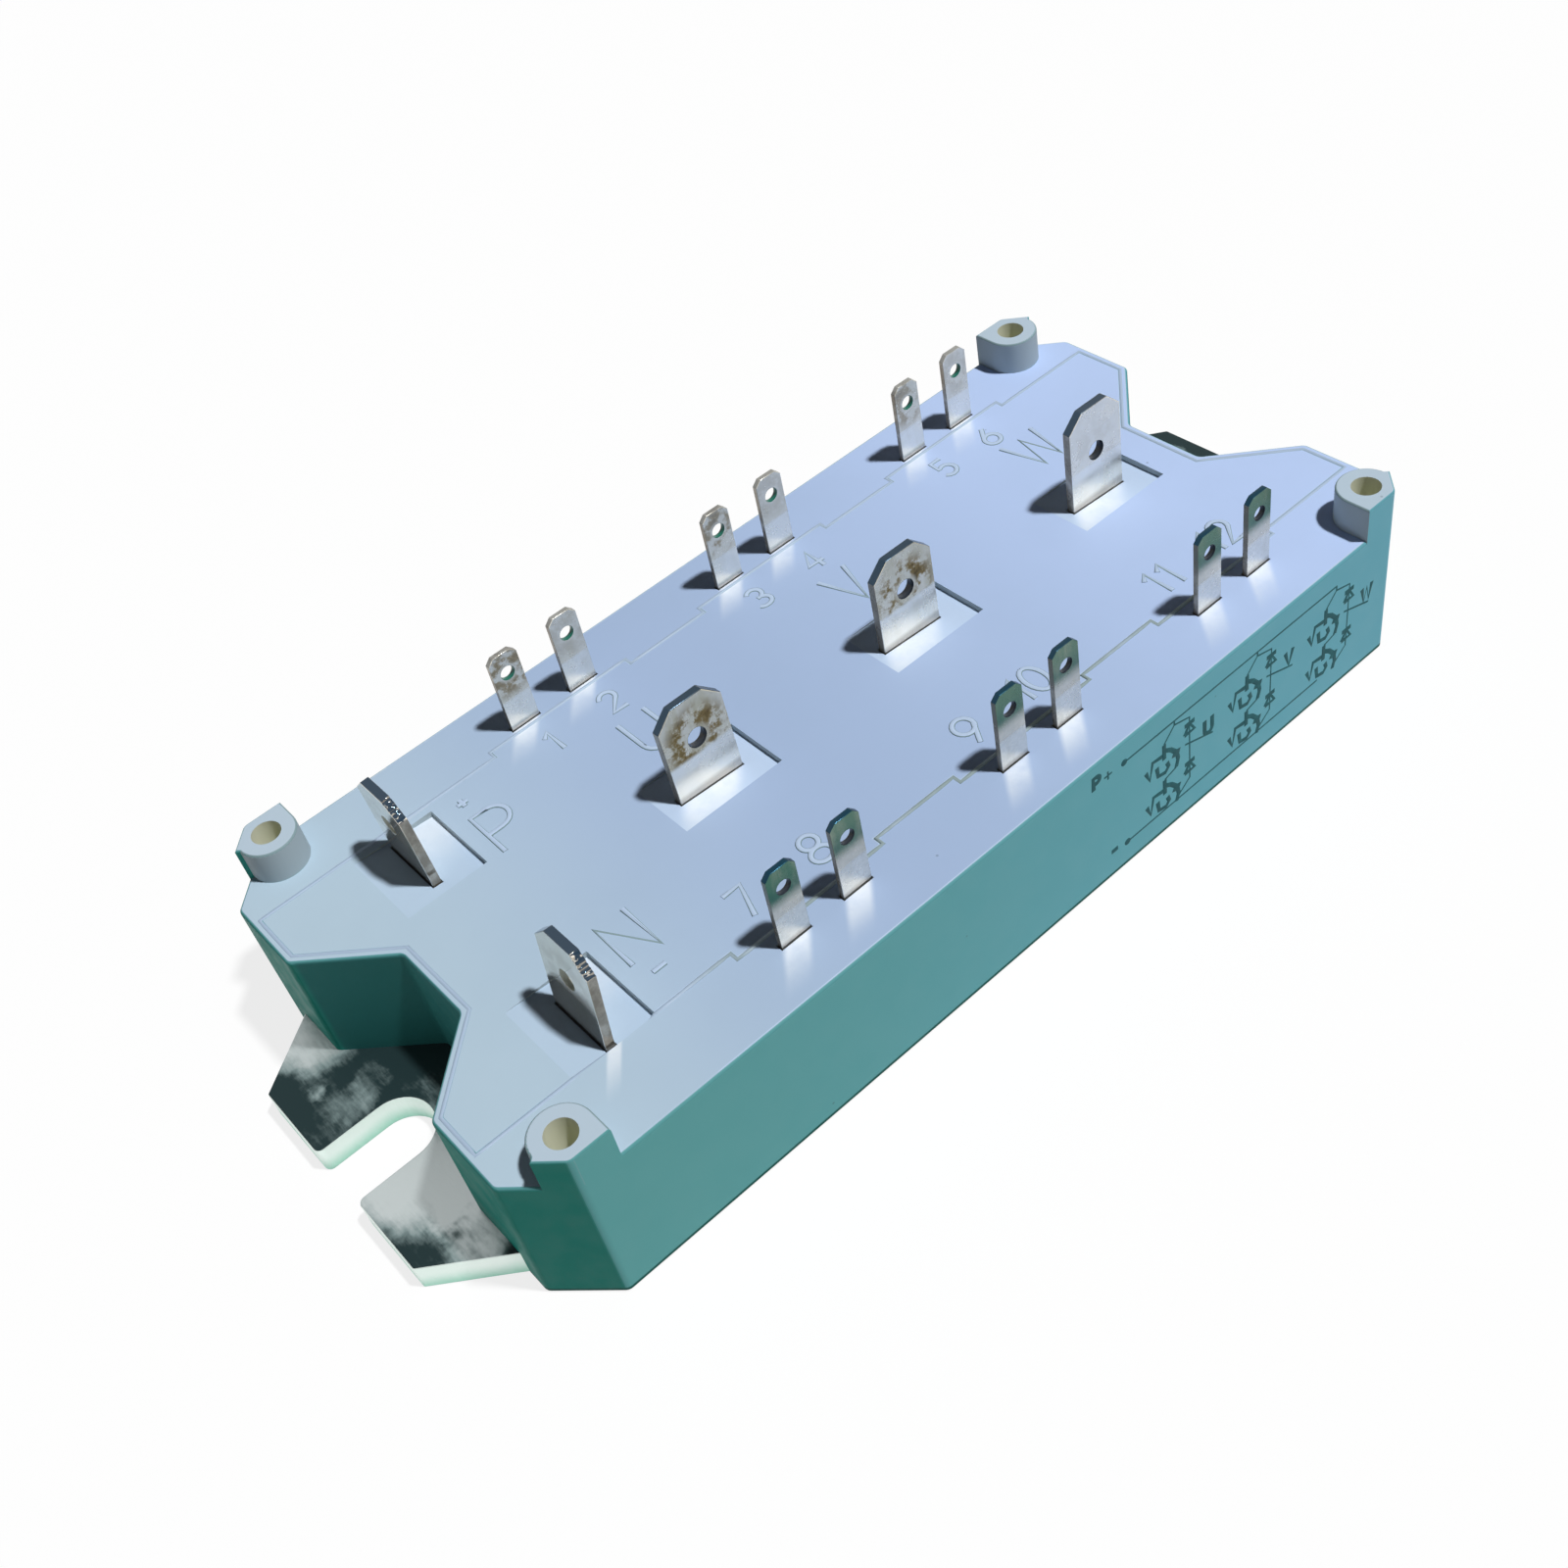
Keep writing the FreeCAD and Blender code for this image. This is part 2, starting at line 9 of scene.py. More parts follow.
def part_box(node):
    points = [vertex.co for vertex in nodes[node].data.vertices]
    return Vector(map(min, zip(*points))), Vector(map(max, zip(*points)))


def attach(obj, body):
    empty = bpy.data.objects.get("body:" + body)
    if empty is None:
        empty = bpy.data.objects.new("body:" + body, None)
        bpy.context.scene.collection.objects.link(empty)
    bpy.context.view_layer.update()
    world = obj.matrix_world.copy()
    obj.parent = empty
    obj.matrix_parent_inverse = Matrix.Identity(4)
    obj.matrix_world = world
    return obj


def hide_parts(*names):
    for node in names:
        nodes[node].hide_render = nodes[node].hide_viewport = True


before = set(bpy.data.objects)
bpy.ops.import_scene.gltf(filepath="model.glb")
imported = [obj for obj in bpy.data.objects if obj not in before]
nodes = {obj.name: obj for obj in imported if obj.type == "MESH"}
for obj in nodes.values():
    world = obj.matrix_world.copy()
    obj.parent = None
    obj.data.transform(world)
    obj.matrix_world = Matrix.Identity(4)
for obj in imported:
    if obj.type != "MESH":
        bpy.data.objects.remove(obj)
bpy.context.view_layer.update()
mm = 0.001
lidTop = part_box("lid")[1].z
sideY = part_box("housing_frame")[0].y
print("stage: frame loaded,", len(nodes), "nodes")


def srgb(r, g, b):
    # 0 to 255 values to the linear ones that sockets take
    def one(v):
        v = v / 255
        return v / 12.92 if v <= 0.04045 else ((v + 0.055) / 1.055) ** 2.4
    return (one(r), one(g), one(b), 1.0)


mixSockets = {"factor": 0, "first": 6, "second": 7, "result": 2}


class Nodes:
    # a thin wrapper that keeps material code short
    def __init__(self, name):
        self.mat = bpy.data.materials.new(name)
        self.mat.use_nodes = True
        self.tree = self.mat.node_tree
        self.tree.nodes.clear()
        self.out = self.tree.nodes.new("ShaderNodeOutputMaterial")
        self.coords = self.tree.nodes.new("ShaderNodeTexCoord").outputs["Object"]

    def new(self, kind, **props):
        node = self.tree.nodes.new(kind)
        for key, value in props.items():
            setattr(node, key, value)
        return node

    def put(self, socket, value):
        if hasattr(value, "is_output"):
            self.tree.links.new(value, socket)
        else:
            socket.default_value = value

    def math(self, operation, a, b=0.0, c=0.0):
        node = self.new("ShaderNodeMath", operation=operation)
        for socket, value in zip(node.inputs, (a, b, c)):
            self.put(socket, value)
        return node.outputs[0]

    def times(self, first, *others):
        for other in others:
            first = self.math("MULTIPLY", first, other)
        return first

    def length(self, a, b):
        return self.math("SQRT", self.math("ADD", self.times(a, a), self.times(b, b)))

    def steps(self, value, low, high, toLow=0.0, toHigh=1.0):
        node = self.new("ShaderNodeMapRange", interpolation_type="SMOOTHSTEP")
        for socket, v in zip(node.inputs, (value, low, high, toLow, toHigh)):
            self.put(socket, v)
        return node.outputs[0]

    def mix(self, factor, a, b, blend="MIX"):
        node = self.new("ShaderNodeMix", data_type="RGBA", blend_type=blend)
        self.put(node.inputs[mixSockets["factor"]], factor)
        self.put(node.inputs[mixSockets["first"]], a)
        self.put(node.inputs[mixSockets["second"]], b)
        return node.outputs[mixSockets["result"]]

    def noise(self, scale, detail=3.0, roughness=0.5, stretch=(1, 1, 1), shift=(0, 0, 0)):
        mapping = self.new("ShaderNodeMapping")
        self.put(mapping.inputs["Vector"], self.coords)
        mapping.inputs["Scale"].default_value = stretch
        mapping.inputs["Location"].default_value = shift
        node = self.new("ShaderNodeTexNoise")
        self.put(node.inputs["Vector"], mapping.outputs[0])
        node.inputs["Scale"].default_value = scale
        node.inputs["Detail"].default_value = detail
        node.inputs["Roughness"].default_value = roughness
        return node.outputs["Fac"]

    def specks(self, scale, outer, inner):
        node = self.new("ShaderNodeTexVoronoi")
        self.put(node.inputs["Vector"], self.coords)
        node.inputs["Scale"].default_value = scale
        return self.steps(node.outputs["Distance"], outer, inner)

    def place(self):
        node = self.new("ShaderNodeSeparateXYZ")
        self.put(node.inputs[0], self.coords)
        return node.outputs

    def facing(self):
        geometry = self.new("ShaderNodeNewGeometry")
        node = self.new("ShaderNodeSeparateXYZ")
        self.put(node.inputs[0], geometry.outputs["True Normal"])
        return node.outputs

    def bump(self, height, strength, distance, under=None):
        node = self.new("ShaderNodeBump")
        node.inputs["Strength"].default_value = strength
        node.inputs["Distance"].default_value = distance
        self.put(node.inputs["Height"], height)
        if under is not None:
            self.put(node.inputs["Normal"], under)
        return node.outputs[0]

    def surface(self, color, roughness, metallic, normal, specular):
        shader = self.new("ShaderNodeBsdfPrincipled")
        self.put(shader.inputs["Base Color"], color)
        self.put(shader.inputs["Roughness"], roughness)
        self.put(shader.inputs["Metallic"], metallic)
        self.put(shader.inputs["Normal"], normal)
        shader.inputs["Specular IOR Level"].default_value = specular
        self.tree.links.new(shader.outputs[0], self.out.inputs[0])
        return self.mat


# In the looks, two numbers are where a mask starts and where it is full, and four add its values
# there. A noise is its scale, detail, roughness and stretch, and a bump its strength and depth.

plasticLook = {
    "topNear": srgb(181, 203, 218),
    "topMiddle": srgb(166, 187, 219),
    "topFar": srgb(188, 209, 247),
    "rampPaintedLight": srgb(190, 210, 236),
    "sidesGreenBounce": srgb(108, 182, 182),
    "sidesGreenBounceFar": srgb(122, 194, 212),
    "endsGreenBounce": srgb(20, 140, 126),
    "notchWallsGreenBounce": srgb(54, 128, 126),
    "innerWall": srgb(176, 190, 196),
    "bore": srgb(226, 228, 206),
    "bossTop": srgb(184, 202, 216),
    "underside": srgb(84, 140, 138),
    "skirtPaintedShade": srgb(22, 92, 84),
    "edgePaintedShade": srgb(70, 118, 122),
    "blotchTone": srgb(146, 168, 190),
    "dirtTone": srgb(70, 84, 92),
    # places
    "nearToMiddle": (-45.0 * mm, -10.0 * mm),
    "middleToFar": (-10.0 * mm, 45.0 * mm),
    "nearToFar": (-45.0 * mm, 45.0 * mm),
    "inputPocketEnd": (-31.2 * mm, -30.8 * mm),
    "notchReachX": (47.2 * mm, 46.8 * mm),
    "notchReachY": (10.6 * mm, 10.4 * mm),
    "innerReachX": (40.5 * mm, 40.3 * mm),
    "innerReachY": (22.2 * mm, 22.0 * mm),
    "skirtLevel": (0.6 * mm, 0.4 * mm),
    "bossTopLevel": (16.5 * mm, 17.0 * mm),
    "bossFoot": (14.1 * mm, 14.3 * mm),
    "bossPlace": (42.25 * mm, 20.3 * mm),
    "bossRadius": 2.5 * mm,
    "bossWall": (0.25 * mm, 0.22 * mm),
    "boreRadius": 1.33 * mm,
    # how a face is turned
    "endFacing": (0.5, 0.75),
    "inwardFacing": (-0.3, -0.6),
    "notchFacing": (0.45, 0.6),
    "radialFacing": (0.975, 0.99),
    "cornerFacing": (0.2, 0.05),
    "edgeFacing": (0.05, 0.35),
    "topFacing": (0.9, 0.995),
    "rampFacing": (0.9995, 0.998),
    "undersideFacing": (-0.5, -0.9),
    "boreFacing": (0.9, 0.4),
    # shares and surface
    "inputFloorShares": (0.3, 1.0),
    "edgeShadeShare": 0.5,
    "blotchNoise": (60.0, 4.0, 0.6),
    "blotchShares": (0.35, 0.75, 0.0, 0.1),
    "dirtSpecks": (210.0, 0.03, 0.018),
    "dirtShare": 0.35,
    "grainNoise": (2600.0, 2.0, 0.5),
    "grainBump": (0.15, 0.03 * mm),
    "waveNoise": (180.0, 3.0, 0.5),
    "waveBump": (0.1, 0.2 * mm),
    "sheenNoise": (420.0, 3.0, 0.5),
    "sheen": (0.3, 0.7, 0.44, 0.58),
    "specular": 0.08,
}

# painted light on the plastic in front of the terminals and in the pockets' corners, where the metal blades
# throw light
paintedLightLook = {
    "tone": srgb(236, 243, 250),
    "slant": 0.78,
    "halfWidths": (1.15, 0.6),
    "pinShare": 0.8,
    "pinReach": 4.0 * mm,
    "bladeShare": 0.85,
    "bladeReach": 6.0 * mm,
    "cornerShare": 0.6,
    "cornerFrom": (-34.6 * mm, -34.3 * mm),
    "cornerUntil": (-30.5 * mm, -30.9 * mm),
    "nearPocket": (-12.5 * mm, -7.0 * mm),
    "nearPocketEnd": -6.0 * mm,
    "farPocket": (8.5 * mm, 14.5 * mm),
    "noise": (330.0, 4.0, 0.6),
    "noiseShares": (0.3, 0.65, 0.55, 1.0),
}
pinRows = (range(1, 7), range(7, 13))


def footOf(node):
    # middle and half width along x, and the near face, of what stands above the lid
    shown = [v.co for v in nodes[node].data.vertices if v.co.z > lidTop]
    low = min(co.x for co in shown)
    high = max(co.x for co in shown)
    return (low + high) / 2, (high - low) / 2, min(co.y for co in shown)


def paintedLightMask(n, names, reach):
    # a patch of painted light in front of each foot of one row, drawn out to the near left
    x, y, _ = n.place()
    feet = [footOf(name) for name in names]
    wide, narrow = paintedLightLook["halfWidths"]
    ahead = n.math("SUBTRACT", feet[0][2], y)
    along = n.times(n.math("GREATER_THAN", ahead, 0.0), n.steps(ahead, reach, 0.0))
    drawn = n.math("MULTIPLY_ADD", ahead, paintedLightLook["slant"], x)
    across = 0.0
    for middle, half, _ in feet:
        off = n.math("ABSOLUTE", n.math("SUBTRACT", drawn, middle))
        across = n.math("MAXIMUM", across, n.steps(off, half * wide, half * narrow))
    return n.times(across, along)


def paintedLightShare(n, pocketFloor, leaning):
    look = paintedLightLook
    x, y, _ = n.place()
    rows = [["control_terminal_%d" % number for number in row] for row in pinRows]
    pins = n.math("MAXIMUM", *[paintedLightMask(n, row, look["pinReach"]) for row in rows])
    blades = paintedLightMask(n, ["power_terminal_" + phase for phase in "uvw"], look["bladeReach"])
    paintedLight = n.math("MAXIMUM", n.times(pins, look["pinShare"]), n.times(blades, leaning, look["bladeShare"]))
    last = paintedLightMask(n, ["power_terminal_n"], look["pinReach"])
    paintedLight = n.math("MAXIMUM", paintedLight, n.times(last, look["pinShare"]))
    # painted light in the far corners of the pockets of P and N, thrown from the backs of their blades
    farEnd = n.times(n.steps(y, *look["nearPocket"]), n.math("LESS_THAN", y, look["nearPocketEnd"]))
    farEnd = n.math("MAXIMUM", farEnd, n.steps(y, *look["farPocket"]))
    behind = n.times(n.steps(x, *look["cornerFrom"]), n.steps(x, *look["cornerUntil"]))
    paintedLight = n.math("MAXIMUM", paintedLight, n.times(farEnd, behind, pocketFloor, look["cornerShare"]))
    return n.times(paintedLight, n.steps(n.noise(*look["noise"]), *look["noiseShares"]))


def topTone(n):
    look = plasticLook
    x, _, z = n.place()
    _, _, nz = n.facing()
    tone = n.mix(n.steps(x, *look["nearToMiddle"]), look["topNear"], look["topMiddle"])
    tone = n.mix(n.steps(x, *look["middleToFar"]), tone, look["topFar"])
    blotch = n.noise(*look["blotchNoise"])
    tone = n.mix(n.steps(blotch, *look["blotchShares"]), tone, look["blotchTone"])
    # the pockets' floors lean a little, the lid's top doesn't; painted light makes them paler
    pocketFloor = n.steps(nz, *look["rampFacing"])
    leaning = n.times(pocketFloor, n.steps(x, *look["inputPocketEnd"], *look["inputFloorShares"]))
    tone = n.mix(leaning, tone, look["rampPaintedLight"])
    tone = n.mix(paintedLightShare(n, pocketFloor, leaning), tone, paintedLightLook["tone"])
    return n.mix(n.steps(z, *look["bossTopLevel"]), tone, look["bossTop"])


def bossReach(n):
    # offsets and distance from the middle of the nearest boss
    x, y, _ = n.place()
    bossX, bossY = plasticLook["bossPlace"]
    dx = n.math("SUBTRACT", n.math("ABSOLUTE", x), bossX)
    dy = n.math("SUBTRACT", n.math("ABSOLUTE", y), bossY)
    return dx, dy, n.length(dx, dy)


def outwardFacing(n):
    # how far a face looks away from the middle, along x and along y
    x, y, _ = n.place()
    nx, ny, _ = n.facing()
    return n.times(nx, n.math("SIGN", x)), n.times(ny, n.math("SIGN", y))


def bossWall(n):
    # the round part of the bosses' walls, and not the outer corner, which runs into the sides
    look = plasticLook
    _, _, z = n.place()
    nx, ny, _ = n.facing()
    outX, outY = outwardFacing(n)
    dx, dy, reach = bossReach(n)
    offRound = n.math("ABSOLUTE", n.math("SUBTRACT", reach, look["bossRadius"]))
    along = n.math("ADD", n.times(outX, dx), n.times(outY, dy))
    radial = n.math("DIVIDE", along, n.times(reach, n.length(nx, ny)))
    corner = n.math("MINIMUM", outX, outY)
    return n.times(n.steps(z, *look["bossFoot"]), n.steps(offRound, *look["bossWall"]),
                   n.steps(radial, *look["radialFacing"]), n.steps(corner, *look["cornerFacing"]))


def sideTone(n):
    look = plasticLook
    x, y, z = n.place()
    nx, _, nz = n.facing()
    absX = n.math("ABSOLUTE", x)
    absY = n.math("ABSOLUTE", y)
    outX, _ = outwardFacing(n)
    # painted light: the teal of the long sides, the ends and the notch walls is painted green bounce light
    # on the pale plastic
    tone = n.mix(n.steps(x, *look["nearToFar"]), look["sidesGreenBounce"], look["sidesGreenBounceFar"])
    tone = n.mix(n.steps(outX, *look["endFacing"]), tone, look["endsGreenBounce"])
    tone = n.mix(n.steps(outX, *look["inwardFacing"]), tone, look["innerWall"])
    # the notch walls lie inside the ends
    endness = n.steps(n.math("ABSOLUTE", nx), *look["notchFacing"])
    inNotch = n.times(n.steps(absX, *look["notchReachX"]), endness, n.steps(absY, *look["notchReachY"]))
    tone = n.mix(inNotch, tone, look["notchWallsGreenBounce"])
    # walls of the lid, the pockets and the bosses are the paler plastic
    inner = n.times(n.steps(absX, *look["innerReachX"]), n.steps(absY, *look["innerReachY"]))
    tone = n.mix(n.math("MAXIMUM", inner, bossWall(n)), tone, look["innerWall"])
    # painted shade: a dark band along the foot of the sides, where the gap under the frame lies in shade
    tone = n.mix(n.steps(z, *look["skirtLevel"]), tone, look["skirtPaintedShade"])
    # painted shade: the rounded upper edge keeps the sides' tone, only deeper, so that it shows no bright
    # line of light
    edge = n.times(n.steps(nz, *look["edgeFacing"]), look["edgeShadeShare"])
    return n.mix(edge, tone, look["edgePaintedShade"])


def housingPlastic(name, shade=1.0):
    look = plasticLook
    n = Nodes(name)
    _, _, nz = n.facing()
    _, _, reach = bossReach(n)
    color = n.mix(n.steps(nz, *look["topFacing"]), sideTone(n), topTone(n))
    color = n.mix(n.steps(nz, *look["undersideFacing"]), color, look["underside"])
    # partly painted light: the bores' walls are a bright cream, paler than the plastic, so that the deep
    # bores read as lit
    inBore = n.times(n.math("LESS_THAN", reach, look["boreRadius"]), n.steps(nz, *look["boreFacing"]))
    color = n.mix(inBore, color, look["bore"])
    # painted shade: a darker copy of the plastic, used for the raised marks
    if shade != 1.0:
        color = n.mix(1.0, color, (shade, shade, shade, 1.0), "MULTIPLY")
    dirt = n.times(n.specks(*look["dirtSpecks"]), look["dirtShare"])
    color = n.mix(dirt, color, look["dirtTone"])
    normal = n.bump(n.noise(*look["grainNoise"]), *look["grainBump"])
    normal = n.bump(n.noise(*look["waveNoise"]), *look["waveBump"], normal)
    roughness = n.steps(n.noise(*look["sheenNoise"]), *look["sheen"])
    return n.surface(color, roughness, 0.0, normal, look["specular"])


plateLook = {
    "bright": srgb(192, 200, 200),
    "mid": srgb(124, 142, 142),
    "dark": srgb(22, 42, 44),
    "edge": srgb(240, 253, 247),
    "wallFootShade": srgb(160, 216, 196),
    # middle, radius and strength of the pale patches of painted reflection in millimetres, mirrored on the
    # other end
    "reflectionPatches": [(48.4, 13.8, 5.8, 0.8), (50.9, 7.8, 1.4, 0.45), (46.9, 5.4, 2.4, 0.2),
                (50.1, 5.4, 3.0, 0.22), (49.6, -4.8, 7.2, 0.95), (48.2, -12.0, 4.6, 0.7)],
    "reflectionPatchCore": 0.35,
    "cloudNoise": (210.0, 5.0, 0.65),
    "cloudBump": (0.15, 0.3 * mm),
    "driftNoise": (240.0, 4.0, 0.6),
    "drift": 5.0 * mm,
    "farDarkening": (0.0, 40.0 * mm, 0.0, 0.25),
    "streakNoise": (1300.0, 2.0, 0.5, (3.0, 0.6, 1)),
    "streakShares": (0.3, 0.7, -0.05, 0.05),
    "darkToMid": (0.0, 0.5),
    "midToBright": (0.3, 0.95),
    "uprightFacing": (0.7, 0.3),
    "wallCloud": 1.0 * mm,
    "wallLevel": (0.2 * mm, 2.4 * mm),
    "wallMetal": 0.75,
    "metal": (0.2, 0.8, 0.0, 0.7),
    "sheen": (0.0, 0.8, 0.62, 0.34),
    "scratchNoise": (1500.0, 3.0, 0.6, (3.0, 0.5, 1)),
    "scratchBump": (0.15, 0.05 * mm),
    "specular": 0.2,
}


def nickelPlate(name):
    look = plateLook
    n = Nodes(name)
    x, y, z = n.place()
    _, _, nz = n.facing()
    absX = n.math("ABSOLUTE", x)
    cloud = n.noise(*look["cloudNoise"])
    drift = n.times(n.math("SUBTRACT", n.noise(*look["driftNoise"]), 0.5), look["drift"])
    level = n.math("SUBTRACT", cloud, 0.5)
    for px, py, radius, strength in look["reflectionPatches"]:
        reach = n.length(n.math("SUBTRACT", absX, px * mm), n.math("SUBTRACT", y, py * mm))
        reach = n.math("ADD", reach, drift)
        reflectionPatch = n.steps(reach, radius * mm, radius * mm * look["reflectionPatchCore"], 0.0, strength)
        level = n.math("ADD", level, reflectionPatch)
    # darker towards the far end
    level = n.math("SUBTRACT", level, n.steps(x, *look["farDarkening"]))
    level = n.math("ADD", level, n.steps(n.noise(*look["streakNoise"]), *look["streakShares"]))
    # painted reflection: the dark, mid and bright tones stand in for the bright and dark surroundings
    # mirrored in the nickel
    color = n.mix(n.steps(level, *look["darkToMid"]), look["dark"], look["mid"])
    color = n.mix(n.steps(level, *look["midToBright"]), color, look["bright"])
    # painted light: the upright walls are painted near white as if lit, with painted shade greener towards
    # their foot
    upright = n.steps(n.math("ABSOLUTE", nz), *look["uprightFacing"])
    height = n.math("ADD", z, n.times(cloud, look["wallCloud"]))
    wall = n.mix(n.steps(height, *look["wallLevel"]), look["wallFootShade"], look["edge"])
    color = n.mix(upright, color, wall)
    metallic = n.math("MAXIMUM", n.steps(level, *look["metal"]), n.times(upright, look["wallMetal"]))
    normal = n.bump(n.noise(*look["scratchNoise"]), *look["scratchBump"])
    normal = n.bump(cloud, *look["cloudBump"], normal)
    return n.surface(color, n.steps(level, *look["sheen"]), metallic, normal, look["specular"])


bladeLook = {
    "clean": srgb(255, 250, 240),
    "aged": srgb(206, 197, 168),
    "brown": srgb(146, 122, 76),
    "deepBrown": srgb(104, 84, 50),
    "greenReflectionTint": srgb(28, 98, 82),
    "dullTone": srgb(120, 128, 130),
    "edgeDark": srgb(10, 50, 74),
    "footBrown": srgb(96, 82, 76),
    "sideTone": srgb(128, 118, 104),
    "holePaintedShade": srgb(34, 42, 52),
    "holePaintedLight": srgb(214, 214, 200),
    "holePaintedGreen": srgb(14, 104, 88),
    "streakNoise": (700.0, 4.0, 0.6, (1, 1, 0.3)),
    "spotNoise": (480.0, 5.0, 0.65, (1, 1, 1)),
    "stainNoise": (620.0, 6.0, 0.7, (1, 1, 1)),
    "speckleNoise": (3200.0, 3.0, 0.6),
    "burrNoise": (2600.0, 2.0, 0.5, (1, 1, 1.6)),
    "brushNoise": (2400.0, 2.0, 0.5, (1, 1, 0.15)),
    # heights from the lid to the tip, as shares
    "cleanLine": (0.37, 0.43),
    "footLine": (0.09, 0.02),
    "greenReflectionLine": (0.48, 0.68),
    "cornerLine": (0.6, 0.72),
    "footShare": 0.45,
    "agedStreaks": (0.3, 0.7, 0.0, 0.6),
    "lightStreaks": (0.45, 0.75, 0.0, 0.25),
    "greenReflectionStreaks": (0.15, 0.6, 0.75, 1.0),
    "speckles": (0.4, 0.62),
    "speckleShares": (0.8, 1.25),
    # the stained ring round the hole, in hole radii
    "ringOuter": (4.4, 2.4),
    "ringInner": (1.1, 1.7),
    "ringInnerShares": (0.3, 1.0),
    "stainEdge": (0.44, 0.54),
    "stainDepth": (0.52, 0.66),
    "holeReach": 1.06,
    "sideFacing": (0.6, 0.9),
    "sideSpots": (0.3, 0.6, 0.5, 0.9),
    "sideMetal": 0.3,
    "metal": (0.88, 0.7),
    "cornerFacing": (0.25, 0.5),
    "burrEdge": (0.55, 0.6),
    "burrFacing": (-0.3, -0.5),
    "spotRange": (0.3, 0.7),
    "satin": (0.17, 0.3),
    "mirror": (0.035, 0.06),
    "brushBump": (0.08, 0.02 * mm),
    "spotBump": (0.07, 0.1 * mm),
    "specular": 0.3,
}


def ringStain(n, color, reach, radius, upper, seed, tarnish):
    # brown blotches round the hole
    look = bladeLook
    outer = n.steps(reach, *[radius * share for share in look["ringOuter"]])
    inner = n.steps(reach, *[radius * share for share in look["ringInner"]], *look["ringInnerShares"])
    blotch = n.noise(*look["stainNoise"], (seed, seed * 3, seed))
    mask = n.times(outer, inner, upper, n.steps(blotch, *look["stainEdge"]), tarnish)
    stain = n.mix(n.steps(blotch, *look["stainDepth"]), look["brown"], look["deepBrown"])
    return n.mix(mask, color, stain)


def cornerMask(n, height, burred, share):
    # the worked upper edges, with bright burrs on a corner that was broken off its strip
    look = bladeLook
    _, ny, nz = n.facing()
    mask = n.times(n.steps(nz, *look["cornerFacing"]), n.steps(height, *look["cornerLine"]))
    if burred:
        burr = n.steps(n.noise(*look["burrNoise"]), *look["burrEdge"])
        burr = n.times(burr, n.steps(ny, *look["burrFacing"]))
        mask = n.times(mask, n.math("SUBTRACT", 1.0, burr))
    return n.times(mask, share)


def tinBlade(name, low, high, hole, tarnish=0.0, aged=0.0, greenReflection=0.0, darkTop=0.0, dull=0.0, seed=0.0,
             smooth=False, relief=1.0, holeTone="holePaintedShade"):
    # low and high are the lid's level and the blade's tip, hole is its axis, middle, height and
    # radius, relief is the share of the uneven surface
    look = bladeLook
    n = Nodes(name)
    place = n.place()
    z = place[2]
    height = n.steps(z, low, high)
    height.node.interpolation_type = "LINEAR"
    streak = n.noise(*look["streakNoise"], (seed, seed, 0))
    spot = n.noise(*look["spotNoise"], (seed * 2, seed, seed))
    across, holeMiddle, holeHeight, holeRadius = hole
    reach = n.length(n.math("SUBTRACT", place[across], holeMiddle), n.math("SUBTRACT", z, holeHeight))
    # the lower part stays clean up to a straight line
    upper = n.steps(height, *look["cleanLine"])
    agedTone = n.mix(n.steps(streak, *look["agedStreaks"]), look["aged"], look["clean"])
    color = n.mix(n.times(upper, aged), look["clean"], agedTone)
    color = n.mix(n.steps(streak, *look["lightStreaks"]), color, look["aged"])
    if dull:
        shares = [dull * share for share in look["speckleShares"]]
        speckle = n.steps(n.noise(*look["speckleNoise"]), *look["speckles"], *shares)
        color = n.mix(speckle, color, look["dullTone"])
    if tarnish:
        color = ringStain(n, color, reach, holeRadius, upper, seed, tarnish)
    # painted reflection: the green surroundings mirrored in streaks on the blade's upper part
    if greenReflection:
        mask = n.times(n.steps(height, *look["greenReflectionLine"]), n.steps(streak, *look["greenReflectionStreaks"]), greenReflection)
        color = n.mix(mask, color, look["greenReflectionTint"])
    color = n.mix(n.times(n.steps(height, *look["footLine"]), look["footShare"]), color, look["footBrown"])
    onSide = n.steps(n.math("ABSOLUTE", n.facing()[across]), *look["sideFacing"])
    color = n.mix(n.times(onSide, n.steps(spot, *look["sideSpots"])), color, look["sideTone"])
    metallic = n.steps(upper, 0.0, 1.0, *look["metal"])
    metallic = n.math("SUBTRACT", metallic, n.times(onSide, look["sideMetal"]))
    if darkTop:
        mask = cornerMask(n, height, bool(across), darkTop)
        color = n.mix(mask, color, look["edgeDark"])
        metallic = n.math("MAXIMUM", metallic, mask)
    # painted light and shade: the hole walls take a flat tone, painted shade in U, V, W and the near pins,
    # painted light in P and N, and painted green, as seen through the holes, in the far pins
    inHole = n.math("LESS_THAN", reach, holeRadius * look["holeReach"])
    color = n.mix(inHole, color, look[holeTone])
    metallic = n.times(metallic, n.math("SUBTRACT", 1.0, inHole))
    roughness = n.steps(spot, *look["spotRange"], *look["mirror" if smooth else "satin"])
    strength, depth = look["brushBump"]
    normal = n.bump(n.noise(*look["brushNoise"]), strength * relief, depth)
    strength, depth = look["spotBump"]
    normal = n.bump(spot, strength * relief, depth, normal)
    return n.surface(color, roughness, metallic, normal, look["specular"])


plainLook = {
    "mix": (0.35, 0.65),
    "sheenRange": (0.3, 0.7),
    "sheenSpread": 0.12,
    "bumpScale": 3,
    "bump": (0.1, 0.05 * mm),
    "specular": 0.5,
}


